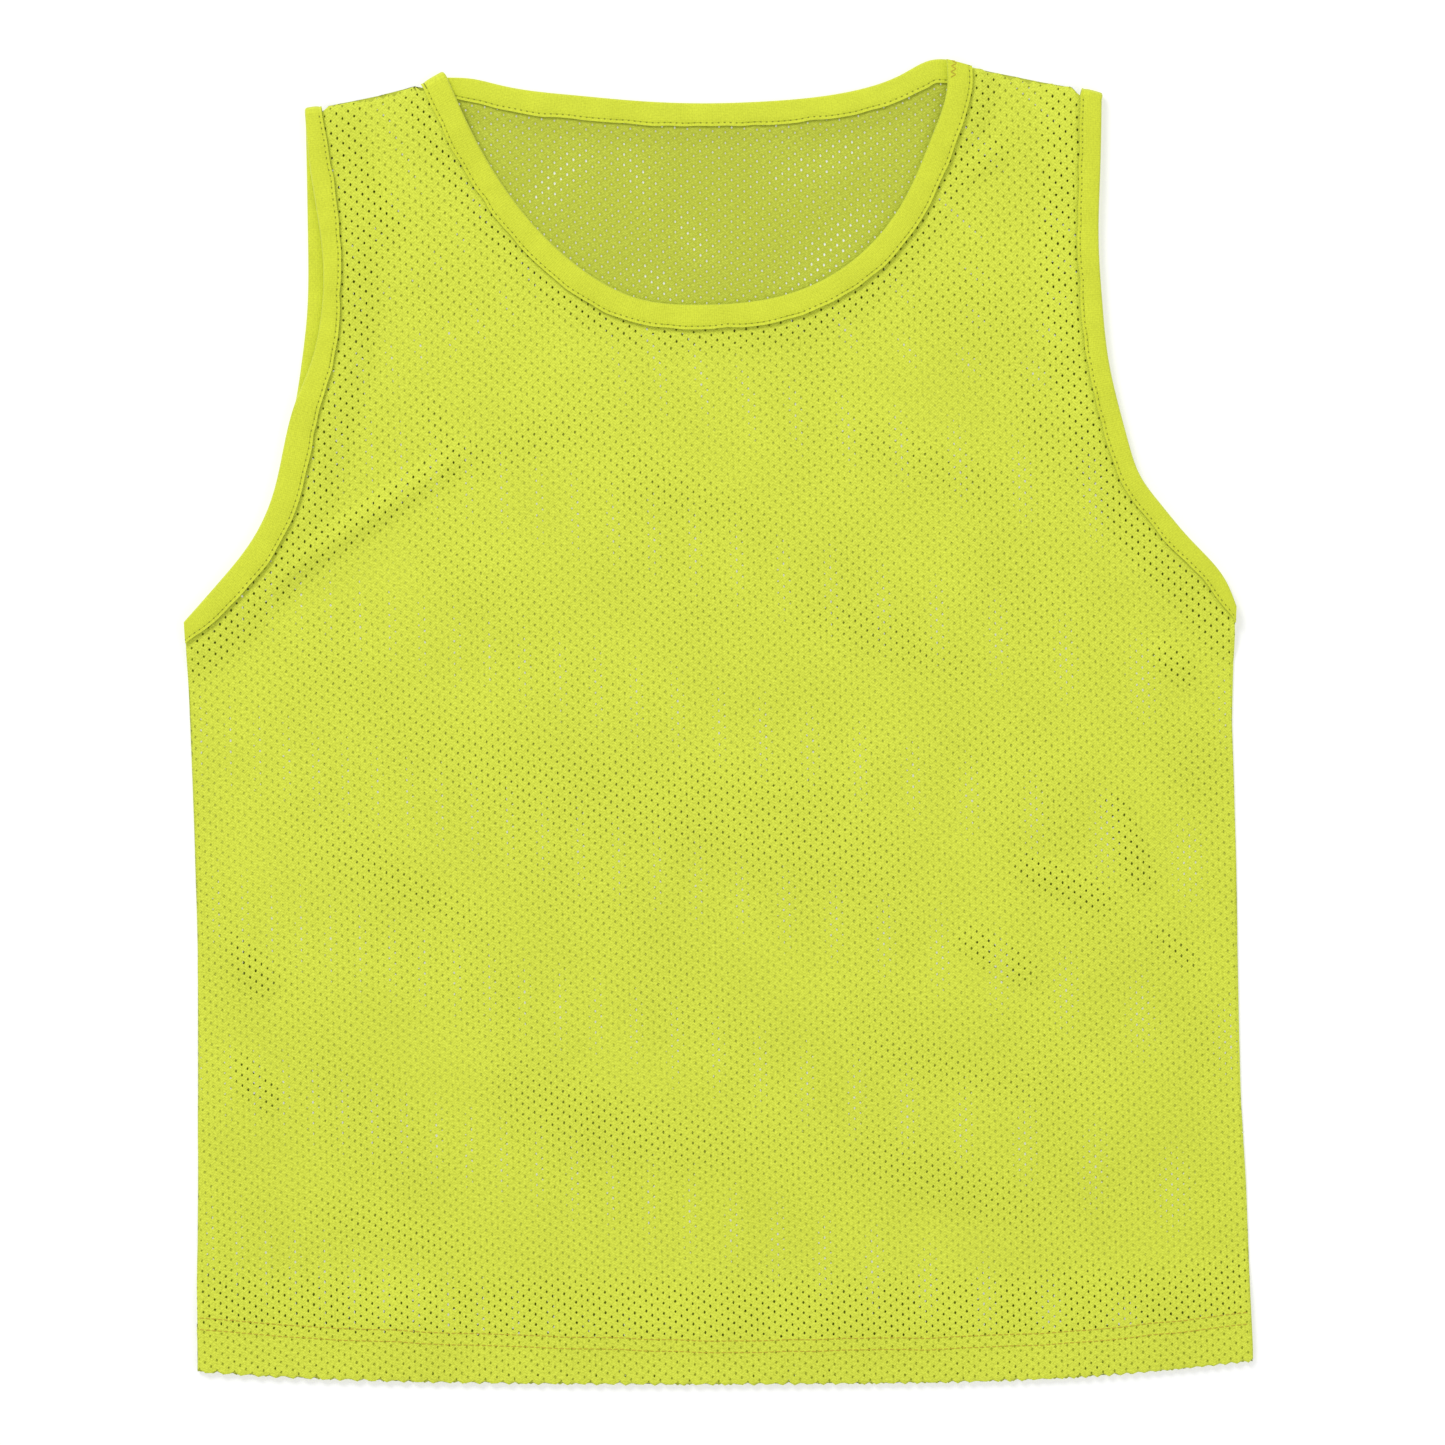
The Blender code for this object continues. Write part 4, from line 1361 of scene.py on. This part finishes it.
class BIB_OT_armhole_bindings(bpy.types.Operator):
    """Builds the strips that bind the armholes"""

    bl_idname = "bib.armhole_bindings"
    bl_label = "Armhole bindings"

    def execute(self, context):
        material = tape_knit("armhole_knit", tuple(context.scene.bib_tape.knit))
        for side, front, back, way in (
            ("left", BIB.left_front, BIB.left_back, LEFT_TIP_WAY),
            ("right", BIB.right_front, BIB.right_back, RIGHT_TIP_WAY),
        ):
            base = np.full(len(front.edge), OVER_BOUND)
            piece = tape("armhole_tape_" + side, front, back, base, way, material)
            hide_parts("armhole_binding_" + side)
        return {"FINISHED"}


class BIB_OT_sewing(bpy.types.Operator):
    """Builds the stitches of the bindings and hems"""

    bl_idname = "bib.sewing"
    bl_label = "Sewing"

    def execute(self, context):
        tape_values = context.scene.bib_tape
        radius = tape_values.thickness / MM
        binding_thread = thread("binding_thread", tuple(tape_values.thread))
        hem_thread = thread("hem_thread", tuple(tape_values.hem_thread))
        on_front = BOUND - STITCH_SUNK
        neck_rows = [
            along_path(BIB.neck_front.sewn_line(BIB.neck_base + on_front), STITCH_PITCH),
            along_path(BIB.neck_back.sewn_line(on_front), STITCH_PITCH),
        ]
        piece = stitches("neck_stitches", neck_rows, radius, binding_thread)
        for side, run in (("left", BIB.left_front), ("right", BIB.right_front)):
            row = along_path(run.sewn_line(OVER_BOUND + on_front), STITCH_PITCH)
            piece = stitches("armhole_stitches_" + side, [row], radius, binding_thread)
        tack = np.array(TACK)
        middle = (tack[1:] + tack[:-1]) / 2.0
        high = np.full((len(middle), 1), OVER_BOUND + BOUND + 0.1)
        heading = np.column_stack([tack[1:] - tack[:-1], 0.0 * high])
        rows = [(np.concatenate([middle, high], axis=1), heading)]
        piece = stitches("neck_tack", rows, radius, hem_thread, TACK_LENGTH)
        for name, is_front in (("front", True), ("back", False)):
            rows = [
                along_path(hem_stitch_line(offset, is_front), STITCH_PITCH)
                for offset in (0.0, HEM_GAUGE)
            ]
            piece = stitches("hem_stitches_" + name, rows, radius, hem_thread)
        return {"FINISHED"}


class BIB_OT_stage(bpy.types.Operator):
    """Builds the floor, the lights and the camera straight above"""

    bl_idname = "bib.stage"
    bl_label = "Stage"

    def execute(self, context):
        scene = context.scene
        stage = scene.bib_stage
        half = 4.0
        mesh = bpy.data.meshes.new("floor")
        corners = [(-half, -half, 0.0), (half, -half, 0.0), (half, half, 0.0), (-half, half, 0.0)]
        mesh.from_pydata(corners, [], [(0, 1, 2, 3)])
        material = bpy.data.materials.new("floor")
        material.use_nodes = True
        shader = material.node_tree.nodes["Principled BSDF"]
        shader.inputs["Base Color"].default_value = (*stage.floor, 1.0)
        shader.inputs["Roughness"].default_value = 0.9
        shader.inputs["Emission Color"].default_value = (1.0, 1.0, 1.0, 1.0)
        shader.inputs["Emission Strength"].default_value = stage.table_light
        mesh.materials.append(material)
        floor = bpy.data.objects.new("floor", mesh)
        scene.collection.objects.link(floor)

        for name, place, size, share in (
            ("key", (-1.6, 2.4, 3.0), 1.4, 1.0),
            ("side", (2.2, -1.2, 3.2), 2.4, 0.27),
        ):
            lamp = bpy.data.lights.new(name, "AREA")
            lamp.size = size
            lamp.energy = stage.key * share
            thing = bpy.data.objects.new(name, lamp)
            thing.location = place
            thing.rotation_euler = Vector(place).to_track_quat("Z", "Y").to_euler()
            scene.collection.objects.link(thing)

        world = bpy.data.worlds.new("studio")
        world.use_nodes = True
        sky = world.node_tree.nodes["Background"]
        sky.inputs["Color"].default_value = (1.0, 1.0, 1.0, 1.0)
        sky.inputs["Strength"].default_value = stage.fill
        scene.world = world
        scene.view_settings.view_transform = "Standard"

        lens = bpy.data.cameras.new("camera")
        lens.lens = LENS
        lens.sensor_width = SENSOR
        lens.clip_end = 50.0
        camera = bpy.data.objects.new("camera", lens)
        distance = VIEW_WIDTH * MM * LENS / SENSOR
        middle = (np.array([*VIEW_MIDDLE, 0.0]) + BIB.shift) * MM
        camera.location = (middle[0], middle[1], distance)
        scene.collection.objects.link(camera)
        scene.camera = camera
        return {"FINISHED"}


class BIB_OT_declare_cloth(bpy.types.Operator):
    """Does nothing: its execute returns at once"""

    bl_idname = "bib.declare_cloth"
    bl_label = "State the cloth's cut"

    def execute(self, context):
        return {"FINISHED"}


class BIB_PT_pieces(bpy.types.Panel):
    """Lists the bib's pieces and settings"""

    bl_label = "Mesh training bib"
    bl_idname = "BIB_PT_pieces"
    bl_space_type = "VIEW_3D"
    bl_region_type = "UI"
    bl_category = "Bib"

    def draw(self, context):
        layout = self.layout
        for group in (context.scene.bib_cloth, context.scene.bib_tape, context.scene.bib_stage):
            box = layout.box()
            for name in group.__annotations__:
                box.prop(group, name)
        for operator in OPERATORS:
            layout.operator(operator.bl_idname)


OPERATORS = (
    BIB_OT_front_panel,
    BIB_OT_back_panel,
    BIB_OT_neck_binding,
    BIB_OT_armhole_bindings,
    BIB_OT_sewing,
    BIB_OT_declare_cloth,
    BIB_OT_stage,
)
GROUPS = {"bib_cloth": BibCloth, "bib_tape": BibTape, "bib_stage": BibStage}

BIB = Bib()


def register():
    """Registers the settings, the operators and the panel."""
    for name, group in GROUPS.items():
        bpy.utils.register_class(group)
        setattr(bpy.types.Scene, name, bpy.props.PointerProperty(type=group))
    for operator in OPERATORS:
        bpy.utils.register_class(operator)
    bpy.utils.register_class(BIB_PT_pieces)


def unregister():
    """Takes out what register put in."""
    bpy.utils.unregister_class(BIB_PT_pieces)
    for operator in reversed(OPERATORS):
        bpy.utils.unregister_class(operator)
    for name, group in GROUPS.items():
        delattr(bpy.types.Scene, name)
        bpy.utils.unregister_class(group)


def main():
    """Makes every piece in order."""
    register()
    bpy.ops.bib.front_panel()
    bpy.ops.bib.back_panel()
    bpy.ops.bib.neck_binding()
    bpy.ops.bib.armhole_bindings()
    bpy.ops.bib.sewing()
    bpy.ops.bib.declare_cloth()
    bpy.ops.bib.stage()


if __name__ == "__main__":
    main()
